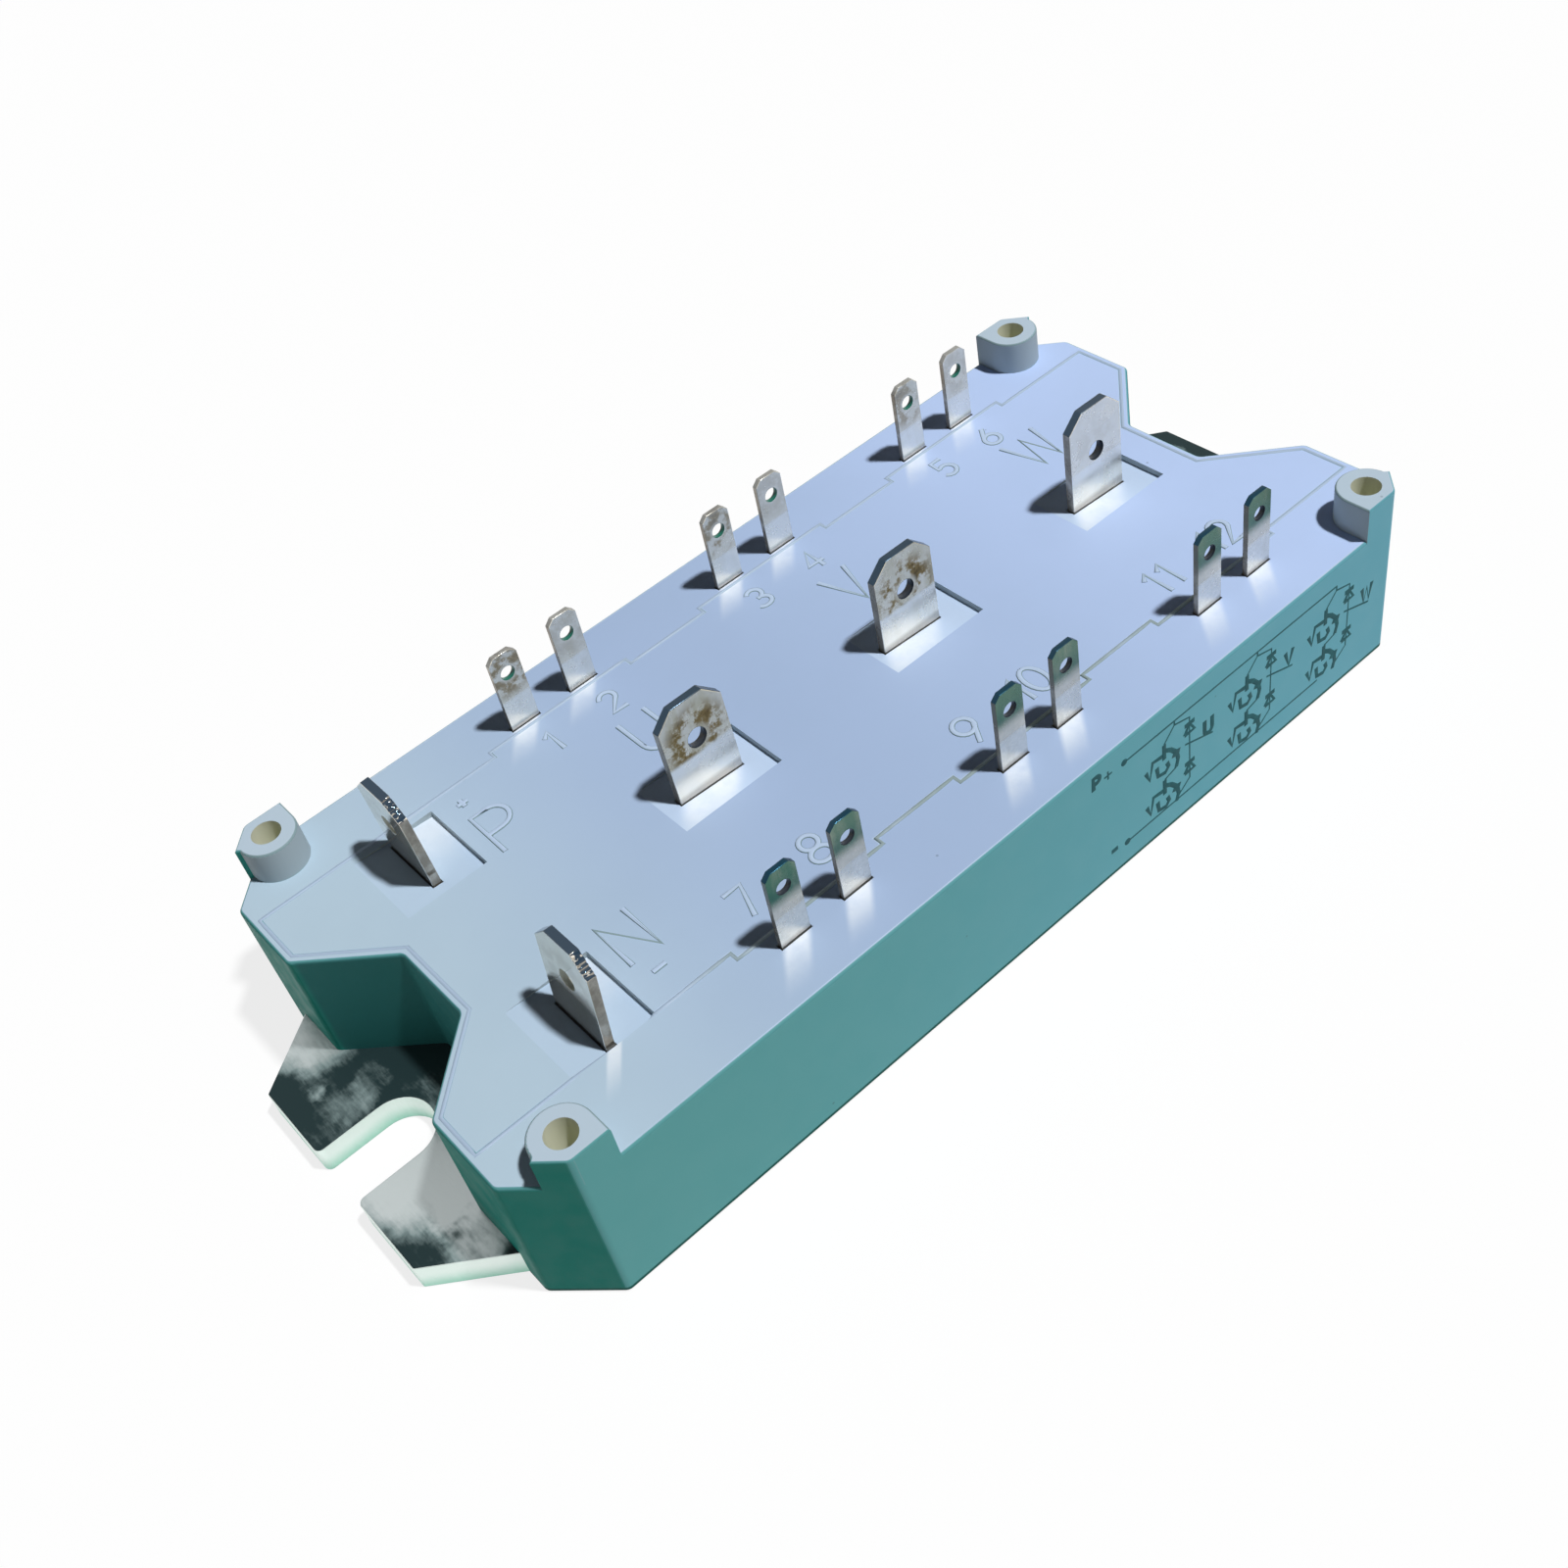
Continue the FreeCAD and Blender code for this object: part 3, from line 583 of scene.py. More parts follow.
def plainFinish(name, pale, deep, scale, roughness, metallic):
    # a two-tone finish for the pieces inside
    look = plainLook
    n = Nodes(name)
    fine = n.noise(scale, 4.0, 0.6)
    color = n.mix(n.steps(fine, *look["mix"]), srgb(*pale), srgb(*deep))
    rough = n.steps(fine, *look["sheenRange"], roughness, roughness + look["sheenSpread"])
    normal = n.bump(n.noise(scale * look["bumpScale"], 2.0), *look["bump"])
    return n.surface(color, rough, metallic, normal, look["specular"])


inkLook = {
    "dark": srgb(46, 98, 104),
    "worn": srgb(68, 126, 132),
    "noise": (900.0, 4.0, 0.7),
    "wear": (0.5, 0.75),
    "sheen": (0.3, 0.7, 0.5, 0.7),
    "bump": (0.1, 0.02 * mm),
    "specular": 0.1,
}


def inkFinish(name):
    look = inkLook
    n = Nodes(name)
    wear = n.noise(*look["noise"])
    color = n.mix(n.steps(wear, *look["wear"]), look["dark"], look["worn"])
    sheen = n.steps(wear, *look["sheen"])
    return n.surface(color, sheen, 0.0, n.bump(wear, *look["bump"]), look["specular"])


seamLook = {
    "pale": srgb(164, 184, 206),
    "dark": srgb(136, 154, 156),
    "noise": (260.0, 4.0, 0.6),
    "nearSide": (-13.8 * mm, -14.6 * mm),
    "from": (-30.0 * mm, -22.0 * mm),
    "until": (34.0 * mm, 28.0 * mm),
    "unevenness": (0.3, 0.6, 0.45, 1.0),
    "sheen": (0.3, 0.7, 0.5, 0.65),
    "bump": (0.1, 0.05 * mm),
    "specular": 0.5,
}


def seamShadeFinish(name):
    # painted shade: darker along the near side, standing in for the shaded gap, next to invisible round the
    # ends
    look = seamLook
    n = Nodes(name)
    x, y, _ = n.place()
    unevenness = n.noise(*look["noise"])
    near = n.times(n.steps(y, *look["nearSide"]), n.steps(unevenness, *look["unevenness"]),
                   n.steps(x, *look["from"]), n.steps(x, *look["until"]))
    color = n.mix(near, look["pale"], look["dark"])
    sheen = n.steps(unevenness, *look["sheen"])
    return n.surface(color, sheen, 0.0, n.bump(unevenness, *look["bump"]), look["specular"])


# painted shade: the raised marks use a slightly darker copy of the housing plastic
markShade = 0.94
plastic = housingPlastic("housingPlastic")
raisedPlastic = housingPlastic("raisedMarkPlastic", markShade)
plateMetal = nickelPlate("nickelPlate")
ink = inkFinish("printedInk")
seamShadeMaterial = seamShadeFinish("seamPaintedShade")
wireTones = ((216, 218, 220), (196, 198, 202))
copperFinish = plainFinish("bondedCopper", (206, 142, 112), (176, 112, 84), 260.0, 0.35, 0.9)
# the start of the nodes' names, and a finish with its tones, scale, roughness and metal
innerFinishes = {
    "silicone_gel": plainFinish("siliconeGel", (222, 230, 232), (206, 218, 222), 120.0, 0.15, 0.0),
    "substrate_solder_": plainFinish("solder", (176, 178, 180), (140, 144, 148), 400.0, 0.4, 0.8),
    "substrate_back_copper_": copperFinish,
    "substrate_circuit_copper_": copperFinish,
    "substrate_ceramic_": plainFinish("aluminaCeramic", (240, 240, 234), (226, 226, 220), 500.0, 0.6, 0.0),
    "igbt_chip_": plainFinish("chipTop", (150, 152, 160), (120, 124, 134), 800.0, 0.3, 0.8),
    "diode_chip_": plainFinish("diodeTop", (160, 162, 166), (132, 134, 140), 800.0, 0.3, 0.8),
    "bond_wires_": plainFinish("bondWire", *wireTones, 900.0, 0.25, 0.95),
    "bus_link_wires": plainFinish("linkWire", *wireTones, 900.0, 0.25, 0.95),
}
print("stage: materials made")


def dress(obj, material):
    obj.data.materials.clear()
    obj.data.materials.append(material)


for nodeName, obj in nodes.items():
    for start, finish in innerFinishes.items():
        if nodeName.startswith(start):
            dress(obj, finish)
dress(nodes["housing_frame"], plastic)
dress(nodes["lid"], plastic)


# Pieces made from the model's own shapes, with worked edges

edgeWork = {
    "mergeReach": 0.002 * mm,
    "flatAngle": math.radians(1.0),
    "bevelAngle": math.radians(28),
    "sharpAngle": math.radians(32),
    "flatFaceArea": 1.0 * mm * mm,
}


def newObject(name, data):
    obj = bpy.data.objects.new(name, data)
    bpy.context.scene.collection.objects.link(obj)
    return obj


def cleanCopy(node):
    # loose triangles merged into plain faces
    mesh = nodes[node].data.copy()
    bm = bmesh.new()
    bm.from_mesh(mesh)
    bmesh.ops.remove_doubles(bm, verts=bm.verts, dist=edgeWork["mergeReach"])
    bmesh.ops.dissolve_limit(bm, angle_limit=edgeWork["flatAngle"], verts=bm.verts, edges=bm.edges)
    return mesh, bm


def settle(obj, material):
    # live modifiers become the mesh itself
    depsgraph = bpy.context.evaluated_depsgraph_get()
    mesh = bpy.data.meshes.new_from_object(obj.evaluated_get(depsgraph))
    obj.modifiers.clear()
    obj.data = mesh
    dress(obj, material)


def workedEdges(obj, shape, material):
    bevel = obj.modifiers.new("edge", "BEVEL")
    bevel.width = shape["edge"]
    bevel.segments = shape["segments"]
    bevel.limit_method = "ANGLE"
    bevel.angle_limit = edgeWork["bevelAngle"]
    settle(obj, material)
    obj.data.set_sharp_from_angle(angle=edgeWork["sharpAngle"])
    # the wide faces are flat, so that the metal mirrors straight
    for polygon in obj.data.polygons:
        polygon.use_smooth = polygon.area < edgeWork["flatFaceArea"]


def finishPiece(obj, slot, *replaced):
    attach(obj, "root")
    if replaced:
        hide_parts(*replaced)


plateShape = {"edge": 0.12 * mm, "segments": 2}


def makePlate():
    mesh, bm = cleanCopy("base_plate")
    bm.to_mesh(mesh)
    bm.free()
    obj = newObject("basePlate", mesh)
    workedEdges(obj, plateShape, plateMetal)
    finishPiece(obj, "nickel_plate", "base_plate")


bladeShape = {
    "edge": 0.07 * mm,
    "segments": 2,
    "holeAboveLid": 4.9 * mm,
    "holeRadius": 0.875 * mm,
    # the torn chamfer of P and N
    "notches": 13,
    "notchDepth": 0.16 * mm,
    "chamferDirection": (0.0, -0.68, 0.73),
    "chamferFacing": 0.97,
    "chamferArea": (1.0 * mm * mm, 3.0 * mm * mm),
    "seed": 7,
}


def notchChamfer(bm, rng):
    # torn edge where the blade was broken from its strip
    direction = Vector(bladeShape["chamferDirection"]).normalized()
    smallest, largest = bladeShape["chamferArea"]
    for face in list(bm.faces):
        turned = face.normal.dot(direction) < bladeShape["chamferFacing"]
        if turned or not smallest < face.calc_area() < largest:
            continue
        longest = sorted(face.edges, key=lambda e: e.calc_length())[-2:]
        cuts = bladeShape["notches"]
        made = bmesh.ops.subdivide_edges(bm, edges=longest, cuts=cuts, use_grid_fill=True)
        depths = [rng.uniform(0.0, 1.0) * (k % 2) for k in range(cuts + 2)]
        along = [item for item in made["geom_inner"] if isinstance(item, bmesh.types.BMVert)]
        low = min(v.co.z for v in along)
        high = max(v.co.z for v in along)
        for v in along:
            k = round((v.co.z - low) / (high - low) * (cuts - 1)) + 1
            v.co -= face.normal * bladeShape["notchDepth"] * depths[k]
        return True
    return False


powerLooks = {
    "p": {"tarnish": 0.25, "aged": 0.3, "darkTop": 0.95, "seed": 0.11, "smooth": True, "relief": 0.12},
    "n": {"tarnish": 0.25, "aged": 0.3, "darkTop": 0.95, "seed": 0.23, "smooth": True, "relief": 0.12},
    "u": {"tarnish": 1.0, "aged": 1.0, "darkTop": 0.95, "seed": 0.37},
    "v": {"tarnish": 1.0, "aged": 0.8, "darkTop": 0.95, "seed": 0.52},
    "w": {"tarnish": 0.12, "aged": 0.25, "darkTop": 0.95, "seed": 0.68, "relief": 0.4},
}


def makePowerTerminals():
    rng = random.Random(bladeShape["seed"])
    for name, look in powerLooks.items():
        node = "power_terminal_" + name
        mesh, bm = cleanCopy(node)
        if name in "pn":
            bm.normal_update()
            done = notchChamfer(bm, rng)
            print("stage: notched chamfer", name, done)
        bm.to_mesh(mesh)
        bm.free()
        low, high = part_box(node)
        across = 1 if name in "pn" else 0
        middle = (low[across] + high[across]) / 2
        hole = (across, middle, lidTop + bladeShape["holeAboveLid"], bladeShape["holeRadius"])
        holeTone = "holePaintedLight" if across else "holePaintedShade"
        finish = tinBlade("tinBlade_" + name, lidTop, high.z, hole, holeTone=holeTone, **look)
        obj = newObject("powerBlade_" + name, mesh)
        workedEdges(obj, bladeShape, finish)
        finishPiece(obj, "terminal_tin", node)


pinLooks = {
    1: {"tarnish": 0.8}, 2: {"tarnish": 0.2}, 3: {"tarnish": 0.7}, 4: {"tarnish": 0.2},
    5: {"tarnish": 0.6}, 6: {"tarnish": 0.2}, 7: {"greenReflection": 0.95}, 8: {"greenReflection": 0.9},
    9: {"greenReflection": 0.9}, 10: {"greenReflection": 0.9}, 11: {"greenReflection": 0.9}, 12: {"greenReflection": 0.9},
}
farPin = {"relief": 0.5, "aged": 0.5, "darkTop": 0.6, "dull": 0.06, "holeTone": "holePaintedGreen"}
nearPin = {"relief": 0.5, "aged": 0.5, "darkTop": 0.9, "dull": 0.2, "holeTone": "holePaintedShade"}
pinShape = {
    "edge": 0.05 * mm,
    "segments": 2,
    "holeAboveLid": 5.73 * mm,
    "holeRadius": 0.65 * mm,
    "seedStep": 0.09,
}


def makeControlTerminals():
    for number, look in pinLooks.items():
        node = "control_terminal_%d" % number
        mesh, bm = cleanCopy(node)
        bm.to_mesh(mesh)
        bm.free()
        low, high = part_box(node)
        hole = (0, (low.x + high.x) / 2, lidTop + pinShape["holeAboveLid"], pinShape["holeRadius"])
        shared = farPin if number in pinRows[0] else nearPin
        seed = pinShape["seedStep"] * number
        finish = tinBlade("tinPin_%d" % number, lidTop, high.z, hole, seed=seed, **shared, **look)
        obj = newObject("controlBlade_%d" % number, mesh)
        workedEdges(obj, pinShape, finish)
        finishPiece(obj, "terminal_tin", node)


makePlate()
makePowerTerminals()
makeControlTerminals()
print("stage: plate and terminals made")


# Strokes that follow paths, for the moulded marks, the printed circuit and the filled seam line

strokeShape = {"profileSides": 8, "letterStep": 0.78, "narrowStep": 0.5}


def strokeTree(name, material, fromEdges):
    # path in, ribbon or ridge out
    tree = bpy.data.node_groups.new(name, "GeometryNodeTree")
    tree.interface.new_socket("Geometry", in_out="INPUT", socket_type="NodeSocketGeometry")
    width = tree.interface.new_socket("Stroke Width", in_out="INPUT", socket_type="NodeSocketFloat")
    height = tree.interface.new_socket("Stroke Height", in_out="INPUT", socket_type="NodeSocketFloat")
    tree.interface.new_socket("Geometry", in_out="OUTPUT", socket_type="NodeSocketGeometry")
    new = tree.nodes.new
    link = tree.links.new
    groupIn = new("NodeGroupInput")
    groupOut = new("NodeGroupOutput")
    normals = new("GeometryNodeSetCurveNormal")
    normals.mode = "Z_UP"
    profile = new("GeometryNodeCurvePrimitiveCircle")
    profile.inputs["Resolution"].default_value = strokeShape["profileSides"]
    size = new("ShaderNodeCombineXYZ")
    half = new("ShaderNodeMath")
    half.operation = "MULTIPLY"
    half.inputs[1].default_value = 0.5
    transform = new("GeometryNodeTransform")
    sweep = new("GeometryNodeCurveToMesh")
    sweep.inputs["Fill Caps"].default_value = True
    realize = new("GeometryNodeRealizeInstances")
    paint = new("GeometryNodeSetMaterial")
    paint.inputs["Material"].default_value = material
    path = groupIn.outputs["Geometry"]
    if fromEdges:
        toCurve = new("GeometryNodeMeshToCurve")
        link(path, toCurve.inputs[0])
        path = toCurve.outputs[0]
    link(path, normals.inputs[0])
    link(groupIn.outputs["Stroke Width"], half.inputs[0])
    link(half.outputs[0], size.inputs[0])
    link(groupIn.outputs["Stroke Height"], size.inputs[1])
    size.inputs[2].default_value = 1.0
    link(profile.outputs[0], transform.inputs["Geometry"])
    link(size.outputs[0], transform.inputs["Scale"])
    link(normals.outputs[0], sweep.inputs["Curve"])
    link(transform.outputs[0], sweep.inputs["Profile Curve"])
    link(sweep.outputs[0], realize.inputs[0])
    link(realize.outputs[0], paint.inputs[0])
    link(paint.outputs[0], groupOut.inputs[0])
    return tree, {"width": width.identifier, "height": height.identifier}


def sweepObject(path, name, width, height, material, fromEdges=False):
    tree, ids = strokeTree(name + "Strokes", material, fromEdges)
    modifier = path.modifiers.new("strokes", "NODES")
    modifier.node_group = tree
    modifier[ids["width"]] = width * mm
    modifier[ids["height"]] = height * mm
    depsgraph = bpy.context.evaluated_depsgraph_get()
    mesh = bpy.data.meshes.new_from_object(path.evaluated_get(depsgraph))
    bpy.data.objects.remove(path)
    piece = newObject(name, mesh)
    dress(piece, material)
    return piece


def strokeMesh(name, strokes, width, height, material):
    curve = bpy.data.curves.new(name, "CURVE")
    curve.dimensions = "3D"
    for stroke in strokes:
        spline = curve.splines.new("POLY")
        spline.points.add(len(stroke) - 1)
        for point, (a, b) in zip(spline.points, stroke):
            point.co = (a * mm, b * mm, 0.0, 1.0)
    path = newObject(name + "Path", curve)
    return sweepObject(path, name, width, height, material)


def arc(cx, cy, rx, ry, start, end, count=10):
    turns = [math.radians(start + (end - start) * k / count) for k in range(count + 1)]
    return [(cx + rx * math.cos(t), cy + ry * math.sin(t)) for t in turns]


# strokes of each mark in a box one high
glyphs = {
    "0": [arc(0.3, 0.5, 0.28, 0.5, 90, 450, 20)],
    "1": [[(0.08, 0.78), (0.3, 1.0), (0.3, 0.0)]],
    "2": [arc(0.3, 0.73, 0.27, 0.27, 170, -35) + [(0.04, 0.0), (0.58, 0.0)]],
    "3": [arc(0.28, 0.74, 0.26, 0.26, 150, -90) + arc(0.28, 0.25, 0.29, 0.25, 90, -150)],
    "4": [[(0.44, 0.0), (0.44, 1.0), (0.02, 0.3), (0.62, 0.3)]],
    "5": [[(0.52, 1.0), (0.1, 1.0), (0.07, 0.56)] + arc(0.28, 0.31, 0.29, 0.31, 125, -150)],
    "6": [[(0.46, 1.0), (0.12, 0.52)] + arc(0.31, 0.3, 0.28, 0.3, 140, 500, 20)],
    "7": [[(0.03, 1.0), (0.56, 1.0), (0.2, 0.0)]],
    "8": [arc(0.3, 0.75, 0.24, 0.25, 270, 630, 20), arc(0.3, 0.25, 0.29, 0.25, 90, 450, 20)],
    "9": [arc(0.29, 0.7, 0.28, 0.3, -40, 320, 20), [(0.54, 0.6), (0.18, 0.0)]],
    "P": [[(0.0, 0.0), (0.0, 1.0), (0.28, 1.0)] + arc(0.28, 0.74, 0.26, 0.26, 90, -90) + [(0.0, 0.48)]],
    "N": [[(0.0, 0.0), (0.0, 1.0), (0.56, 0.0), (0.56, 1.0)]],
    "U": [[(0.0, 1.0), (0.0, 0.28)] + arc(0.28, 0.28, 0.28, 0.28, 180, 360) + [(0.56, 1.0)]],
    "V": [[(0.0, 1.0), (0.3, 0.0), (0.6, 1.0)]],
    "W": [[(0.0, 1.0), (0.2, 0.0), (0.4, 0.9), (0.6, 0.0), (0.8, 1.0)]],
    "+": [[(0.0, 0.5), (0.5, 0.5)], [(0.25, 0.25), (0.25, 0.75)]],
    "-": [[(0.0, 0.5), (0.5, 0.5)]],
}


def lettering(text, x, y, height):
    # x, y is the lower left corner, all in millimetres
    strokes = []
    for letter in text:
        step = strokeShape["narrowStep" if letter == "1" else "letterStep"]
        for stroke in glyphs[letter]:
            strokes.append([(x + a * height, y + b * height) for a, b in stroke])
        x += height * step
    return strokes


lidLetters = {
    "strokeWidth": 0.5,
    "strokeHeight": 0.1,
    "marks": [
        ("P", -29.3, 6.4, 5.1), ("+", -29.2, 12.6, 1.9), ("N", -29.4, -10.4, 4.9), ("-", -28.8, -13.2, 2.4),
        ("U", -14.9, 5.6, 4.9), ("V", 7.7, 5.7, 4.9), ("W", 31.0, 6.2, 4.9),
    ],
}
nearNumbers = {
    "strokeWidth": 0.5,
    "strokeHeight": 0.08,
    "marks": [
        ("7", -21.0, -13.7, 3.2), ("8", -14.0, -13.8, 3.2), ("9", 2.3, -14.0, 3.2), ("10", 8.2, -14.0, 3.2),
        ("11", 24.6, -14.0, 3.2), ("12", 31.4, -14.0, 3.2),
    ],
}
farNumbers = {
    "strokeWidth": 0.5,
    "strokeHeight": 0.05,
    "marks": [
        ("1", -20.1, 12.0, 2.7), ("2", -14.2, 12.0, 2.7), ("3", 2.4, 12.0, 2.7), ("4", 8.6, 12.0, 2.7),
        ("5", 25.2, 12.0, 2.7), ("6", 30.9, 12.0, 2.7),
    ],
}


def makeLidMarks(name, look):
    strokes = []
    for text, x, y, height in look["marks"]:
        strokes += lettering(text, x, y, height)
    obj = strokeMesh(name, strokes, look["strokeWidth"], look["strokeHeight"], raisedPlastic)
    obj.data.transform(Matrix.Translation((0, 0, lidTop)))
    finishPiece(obj, "housing_plastic")


circuit = {
    "busWidth": 0.2,
    "symbolWidth": 0.48,
    "lineHeight": 0.012,
    "topBus": 12.0,
    "bottomBus": 2.7,
    "busStart": 9.8,
    "busPast": 1.3,
    "bottomShort": 2.0,
    "dotRadius": 0.12,
    "branch": 3.05,
    "upperDiodeLift": 0.4,
    "columns": {"u": 14.4, "v": 24.55, "w": 34.7},
    "upperZ": 9.45,
    "lowerZ": 5.4,
    "letterOffset": (4.9, -1.95),
    "letterHeight": 1.65,
    # text, lower left corner and height; the plus sign is as thin as the lines
    "signs": [("P", 6.3, 11.6, 1.3), ("-", 7.9, 2.25, 1.5)],
    "thinSign": ("+", 7.5, 11.15, 1.8),
}


def transistor(x, z):
    # gate lead, gate bar, emitter with its arrow, and the small link below
    return [
        [(x - 2.2, z - 0.7), (x - 1.75, z - 1.9), (x - 1.4, z - 0.15), (x - 0.25, z - 0.3)],
        [(x, z + 0.85), (x, z - 0.85)],
        [(x, z + 0.15), (x + 0.75, z - 0.3), (x + 1.5, z - 1.15), (x + 1.65, z - 2.0),
         (x + 1.4, z - 2.85)],
        [(x + 0.95, z - 1.2), (x + 1.6, z - 1.5), (x + 1.75, z - 0.9)],
        [(x - 0.9, z - 1.1), (x - 0.75, z - 2.2), (x + 0.1, z - 2.4), (x + 0.5, z - 2.0),
         (x + 0.3, z - 1.4)],
    ]


def diode(x, z):
    return [
        [(x - 0.6, z - 0.5), (x + 0.6, z - 0.5), (x, z + 0.5), (x - 0.6, z - 0.5)],
        [(x - 0.6, z + 0.5), (x + 0.6, z + 0.5)],
    ]


def circuitLines(c):
    # buses, stems and branches
    last = c["columns"]["w"] + c["busPast"]
    lines = [[(c["busStart"], c["topBus"]), (last, c["topBus"])],
             [(c["busStart"], c["bottomBus"]), (last - c["bottomShort"], c["bottomBus"])]]
    for x in c["columns"].values():
        upper = c["upperZ"]
        lower = c["lowerZ"]
        branch = x + c["branch"]
        lines.append([(x + 1.25, c["topBus"]), (x + 1.25, upper + 2.1), (x, upper + 0.85)])
        lines.append([(x + 1.25, upper + 2.1), (branch, upper + 1.6), (branch, lower - 1.3),
                      (x + 1.6, lower - 2.4)])
        lines.append([(x + 1.4, upper - 2.85), (x, lower + 0.85)])
        lines.append([(x + 2.5, upper - 1.15), (x + 5.9, upper - 2.3)])
        lines.append([(x + 1.4, lower - 2.85), (x + 1.4, c["bottomBus"])])
    return lines + lettering(*c["thinSign"])


def circuitSymbols(c):
    strokes = []
    for z in (c["topBus"], c["bottomBus"]):
        strokes.append(arc(c["busStart"], z, c["dotRadius"], c["dotRadius"], 0, 360))
    for sign in c["signs"]:
        strokes += lettering(*sign)
    letterX, letterZ = c["letterOffset"]
    for name, x in c["columns"].items():
        strokes += transistor(x, c["upperZ"]) + transistor(x, c["lowerZ"])
        strokes += diode(x + c["branch"], c["upperZ"] + c["upperDiodeLift"])
        strokes += diode(x + c["branch"], c["lowerZ"])
        strokes += lettering(name.upper(), x + letterX, c["upperZ"] + letterZ, c["letterHeight"])
    return strokes


def makeCircuitPrint():
    # laid on the near long side, drawn in x and z
    turn = Matrix(((1, 0, 0, 0), (0, 0, -1, sideY), (0, 1, 0, 0), (0, 0, 0, 1)))
    prints = (("circuitLines", circuitLines(circuit), circuit["busWidth"]),
              ("circuitSymbols", circuitSymbols(circuit), circuit["symbolWidth"]))
    for name, strokes, width in prints:
        obj = strokeMesh(name, strokes, width, circuit["lineHeight"], ink)
        obj.data.transform(turn)
        finishPiece(obj, "housing_plastic")


seam = {
    "reach": 16.8 * mm,
    "gap": 0.15 * mm,
    "step": 1.0 * mm,
    "width": 0.42,
    "height": 0.16,
    "sunkNear": -0.03 * mm,
    "sunkEnds": 0.02 * mm,
    "sunkFrom": -28.0 * mm,
    "sunkUntil": 32.0 * mm,
    "pocketStart": -38.45 * mm,
    "pocketLength": 7.5 * mm,
    "pocketDepth": 0.6 * mm,
    "nearSide": -14.5 * mm,
    "levelReach": 0.001 * mm,
    "wallTilt": 0.1,
    "topTilt": 0.9,
    "leastTurn": 0.3,
    "keyDigits": 7,
}


def placeKey(point):
    # a corner met from two edges gives the same key
    return tuple(round(v, seam["keyDigits"]) for v in point)


def seamLoop():
    # the frame's inner top edge, moved into the gap beside the lid
    bm = bmesh.new()
    bm.from_mesh(nodes["housing_frame"].data)
    bmesh.ops.remove_doubles(bm, verts=bm.verts, dist=edgeWork["mergeReach"])
    bm.normal_update()
    edges = []
    for edge in bm.edges:
        level = all(abs(v.co.z - lidTop) < seam["levelReach"] for v in edge.verts)
        within = all(abs(v.co.y) < seam["reach"] for v in edge.verts)
        if level and within and len(edge.link_faces) == 2:
            tilts = sorted(abs(face.normal.z) for face in edge.link_faces)
            if tilts[0] < seam["wallTilt"] and tilts[1] > seam["topTilt"]:
                wall = min(edge.link_faces, key=lambda face: abs(face.normal.z))
                edges.append((edge.verts[0].co.copy(), edge.verts[1].co.copy(), wall.normal.copy()))
    bm.free()
    return edges


def makeSeamBead():
    edges = seamLoop()
    inward = {}
    for a, b, normal in edges:
        for point in (a, b):
            inward.setdefault(placeKey(point), []).append(normal)
    bm = bmesh.new()
    made = {}

    def vertex(point, normals):
        key = placeKey(point)
        if key not in made:
            shift = sum(normals, Vector()).normalized() * seam["gap"] / 2
            shift /= max(shift.normalized().dot(normals[0]), seam["leastTurn"])
            onNear = point.y < seam["nearSide"]
            deeper = onNear and seam["sunkFrom"] < point.x < seam["sunkUntil"]
            sunk = seam["sunkNear"] if deeper else seam["sunkEnds"]
            along = (point.x - seam["pocketStart"]) / seam["pocketLength"]
            if onNear and 0 < along < 1:
                sunk += seam["pocketDepth"] * along
            place = point + shift
            place.z = lidTop - sunk - seam["height"] * mm / 2
            made[key] = bm.verts.new(place)
        return made[key]

    for a, b, normal in edges:
        pieces = max(1, math.ceil((b - a).length / seam["step"]))
        last = None
        for k in range(pieces + 1):
            point = a.lerp(b, k / pieces)
            normals = inward[placeKey(point)] if k in (0, pieces) else [normal]
            current = vertex(point, normals)
            if last is not None and last is not current:
                bm.edges.new((last, current))
            last = current
    mesh = bpy.data.meshes.new("seamPath")
    bm.to_mesh(mesh)
    bm.free()
    path = newObject("seamPath", mesh)
    obj = sweepObject(path, "seamBead", seam["width"], seam["height"], seamShadeMaterial, True)
    finishPiece(obj, "housing_plastic")


makeLidMarks("lidLetters", lidLetters)
makeLidMarks("nearNumbers", nearNumbers)
makeLidMarks("farNumbers", farNumbers)
makeCircuitPrint()
makeSeamBead()
print("stage: marks, circuit print and seam made")


# Floor, world, lights and camera

studio = {
    "floorSize": 4.0,
    "floorBounce": 0.42,
    "shadowShare": 0.18,
    "ambient": 0.035,
    "keyStrength": 3.08,
    "keyAngle": 4.0,
    "keyFrom": (0.25, -0.3205, 0.9135),
    "fillPower": 0.2,
    "fillFrom": (-0.42, -0.3, 0.07),
    "fillAt": (0, 0, 8.0 * mm),
    "fillSize": 0.3,
}


def seenDirectly(tree):
    # camera, glossy and transmission rays, but not again after a matt surface, so that mirrors
    # throw no white into the shadows
    path = tree.nodes.new("ShaderNodeLightPath")

    def joined(operation, a, b):
        node = tree.nodes.new("ShaderNodeMath")
        node.operation = operation
        tree.links.new(a, node.inputs[0])
        tree.links.new(b, node.inputs[1])
        return node.outputs[0]

    seen = joined("MAXIMUM", path.outputs["Is Camera Ray"], path.outputs["Is Glossy Ray"])
    seen = joined("MAXIMUM", seen, path.outputs["Is Transmission Ray"])
    direct = tree.nodes.new("ShaderNodeMath")
    direct.operation = "LESS_THAN"
    direct.inputs[1].default_value = 0.5
    tree.links.new(path.outputs["Diffuse Depth"], direct.inputs[0])
    return joined("MULTIPLY", seen, direct.outputs[0])


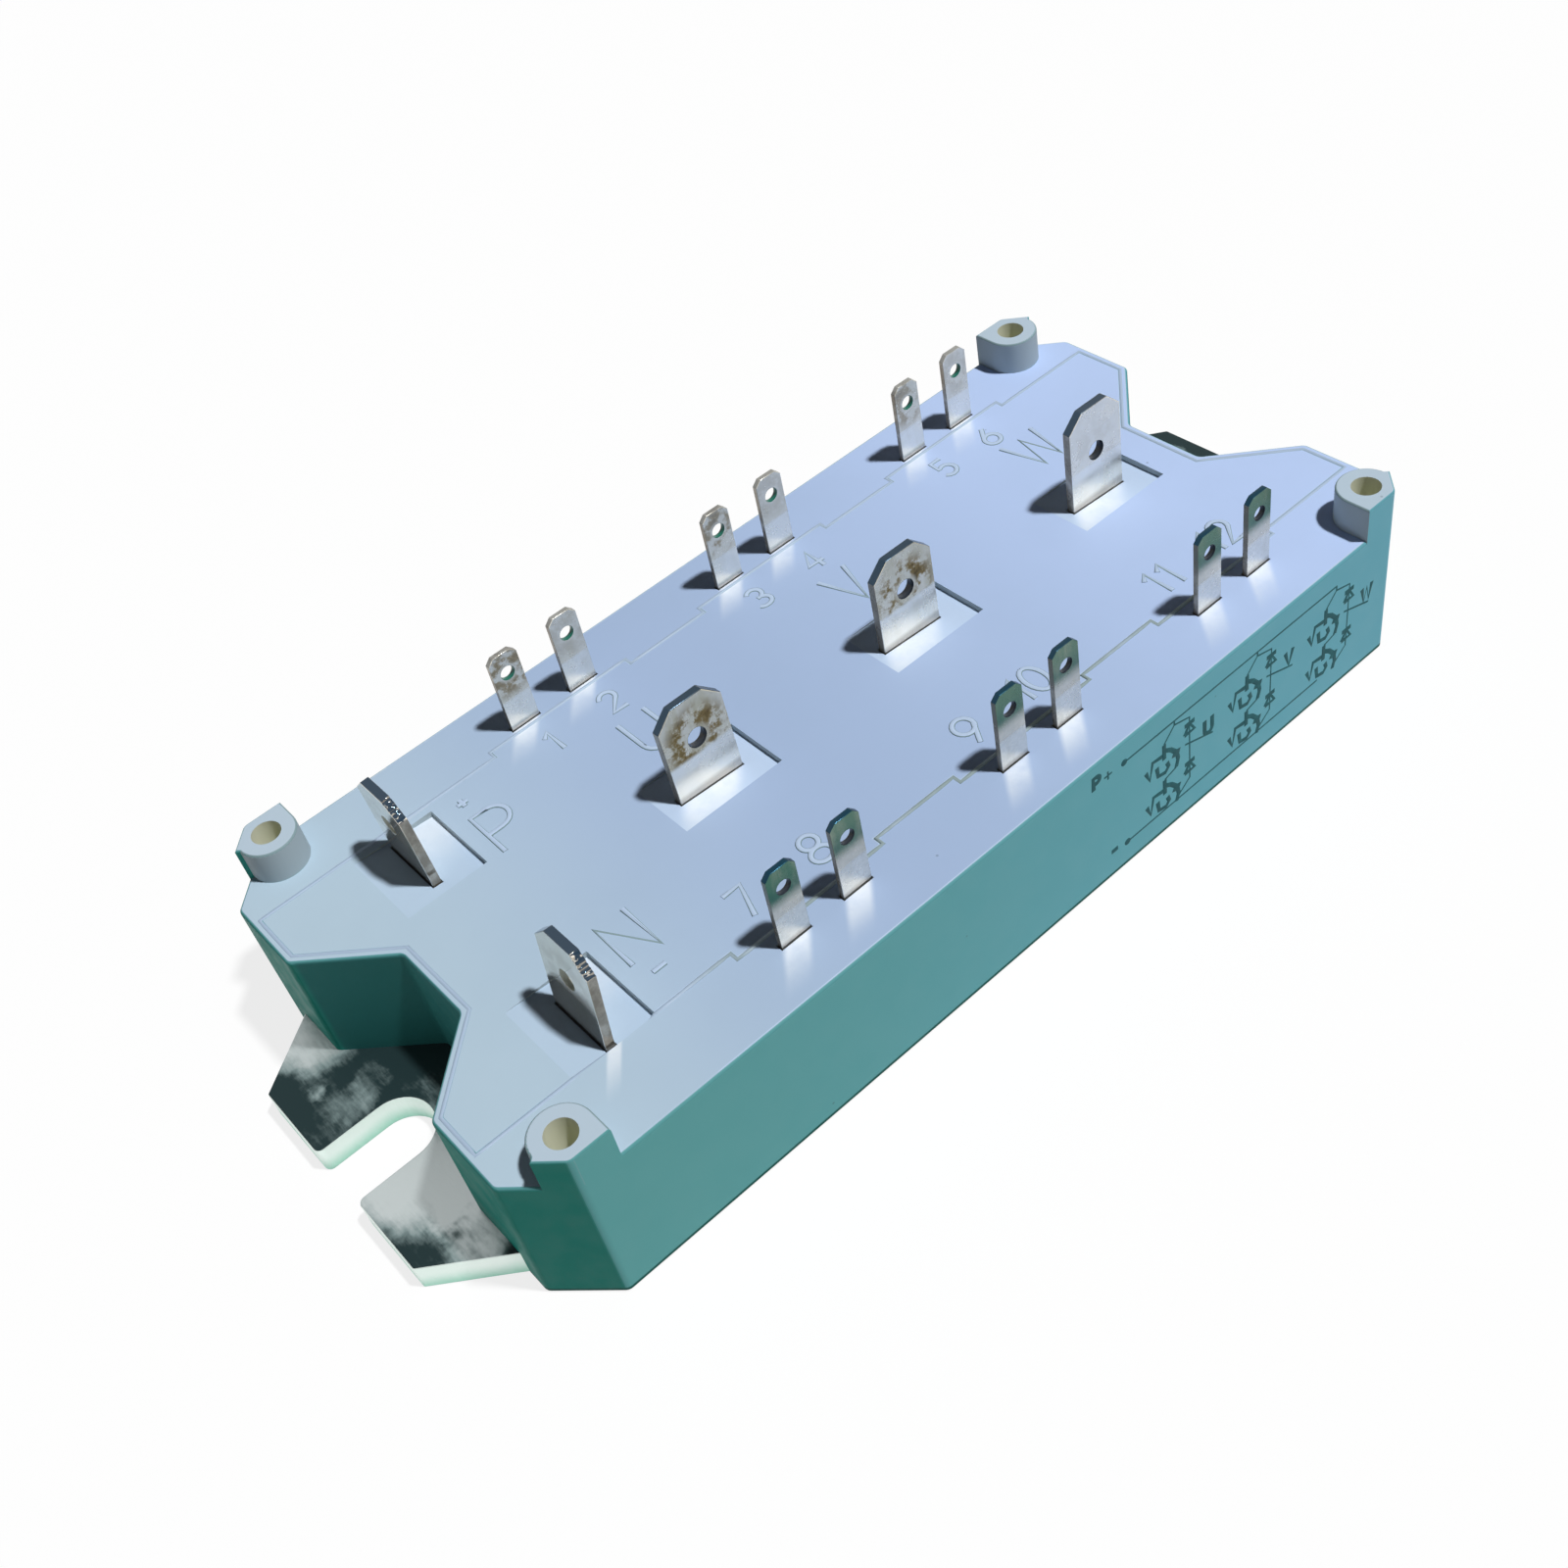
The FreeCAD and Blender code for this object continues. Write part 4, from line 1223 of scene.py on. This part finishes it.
def makeFloor():
    half = studio["floorSize"] / 2
    mesh = bpy.data.meshes.new("floor")
    corners = [(-half, -half, 0), (half, -half, 0), (half, half, 0), (-half, half, 0)]
    mesh.from_pydata(corners, [], [(0, 1, 2, 3)])
    obj = newObject("floor", mesh)
    material = bpy.data.materials.new("paleFloor")
    material.use_nodes = True
    tree = material.node_tree
    tree.nodes.clear()
    out = tree.nodes.new("ShaderNodeOutputMaterial")
    glow = tree.nodes.new("ShaderNodeEmission")
    glow.inputs["Color"].default_value = (1, 1, 1, 1)
    shown = tree.nodes.new("ShaderNodeBsdfDiffuse")
    shown.inputs["Color"].default_value = (1, 1, 1, 1)
    bounce = tree.nodes.new("ShaderNodeBsdfDiffuse")
    level = studio["floorBounce"]
    bounce.inputs["Color"].default_value = (level, level, level, 1)
    blend = tree.nodes.new("ShaderNodeMixShader")
    blend.inputs[0].default_value = studio["shadowShare"]
    pick = tree.nodes.new("ShaderNodeMixShader")
    link = tree.links.new
    link(glow.outputs[0], blend.inputs[1])
    link(shown.outputs[0], blend.inputs[2])
    link(seenDirectly(tree), pick.inputs[0])
    link(bounce.outputs[0], pick.inputs[1])
    link(blend.outputs[0], pick.inputs[2])
    link(pick.outputs[0], out.inputs[0])
    mesh.materials.append(material)


def makeWorld():
    world = bpy.data.worlds.new("studio")
    bpy.context.scene.world = world
    world.use_nodes = True
    tree = world.node_tree
    tree.nodes.clear()
    out = tree.nodes.new("ShaderNodeOutputWorld")
    soft = tree.nodes.new("ShaderNodeBackground")
    soft.inputs["Strength"].default_value = studio["ambient"]
    white = tree.nodes.new("ShaderNodeBackground")
    for node in (soft, white):
        node.inputs["Color"].default_value = (1, 1, 1, 1)
    pick = tree.nodes.new("ShaderNodeMixShader")
    tree.links.new(seenDirectly(tree), pick.inputs[0])
    tree.links.new(soft.outputs[0], pick.inputs[1])
    tree.links.new(white.outputs[0], pick.inputs[2])
    tree.links.new(pick.outputs[0], out.inputs[0])


def aim(obj, place, target):
    obj.location = place
    obj.rotation_euler = (Vector(target) - Vector(place)).to_track_quat("-Z", "Y").to_euler()


def makeLights():
    key = newObject("keyLight", bpy.data.lights.new("keyLight", "SUN"))
    key.data.energy = studio["keyStrength"]
    key.data.angle = math.radians(studio["keyAngle"])
    aim(key, studio["keyFrom"], (0, 0, 0))
    fill = newObject("fillLight", bpy.data.lights.new("fillLight", "AREA"))
    fill.data.energy = studio["fillPower"]
    fill.data.size = studio["fillSize"]
    aim(fill, studio["fillFrom"], studio["fillAt"])


cameraSettings = {
    "lens": 41.092,
    "sensor": 36.0,
    "clipStart": 0.01,
    "place": (-0.06118456, -0.08924042, 0.11416225),
    "right": (0.7425244, -0.6489129, -0.1660406),
    "up": (0.5623143, 0.4692029, 0.6809195),
    "back": (-0.3639507, -0.5989663, 0.7132876),
}


def makeCamera():
    camera = newObject("camera", bpy.data.cameras.new("camera"))
    camera.data.lens = cameraSettings["lens"]
    camera.data.sensor_width = cameraSettings["sensor"]
    camera.data.sensor_fit = "HORIZONTAL"
    camera.data.clip_start = cameraSettings["clipStart"]
    axes = [cameraSettings[axis] for axis in ("right", "up", "back")]
    turn = Matrix(axes).transposed().to_4x4()
    camera.matrix_world = Matrix.Translation(cameraSettings["place"]) @ turn
    bpy.context.scene.camera = camera


makeFloor()
makeWorld()
makeLights()
makeCamera()
bpy.context.scene.view_settings.view_transform = "Standard"
print("stage: studio and camera ready")
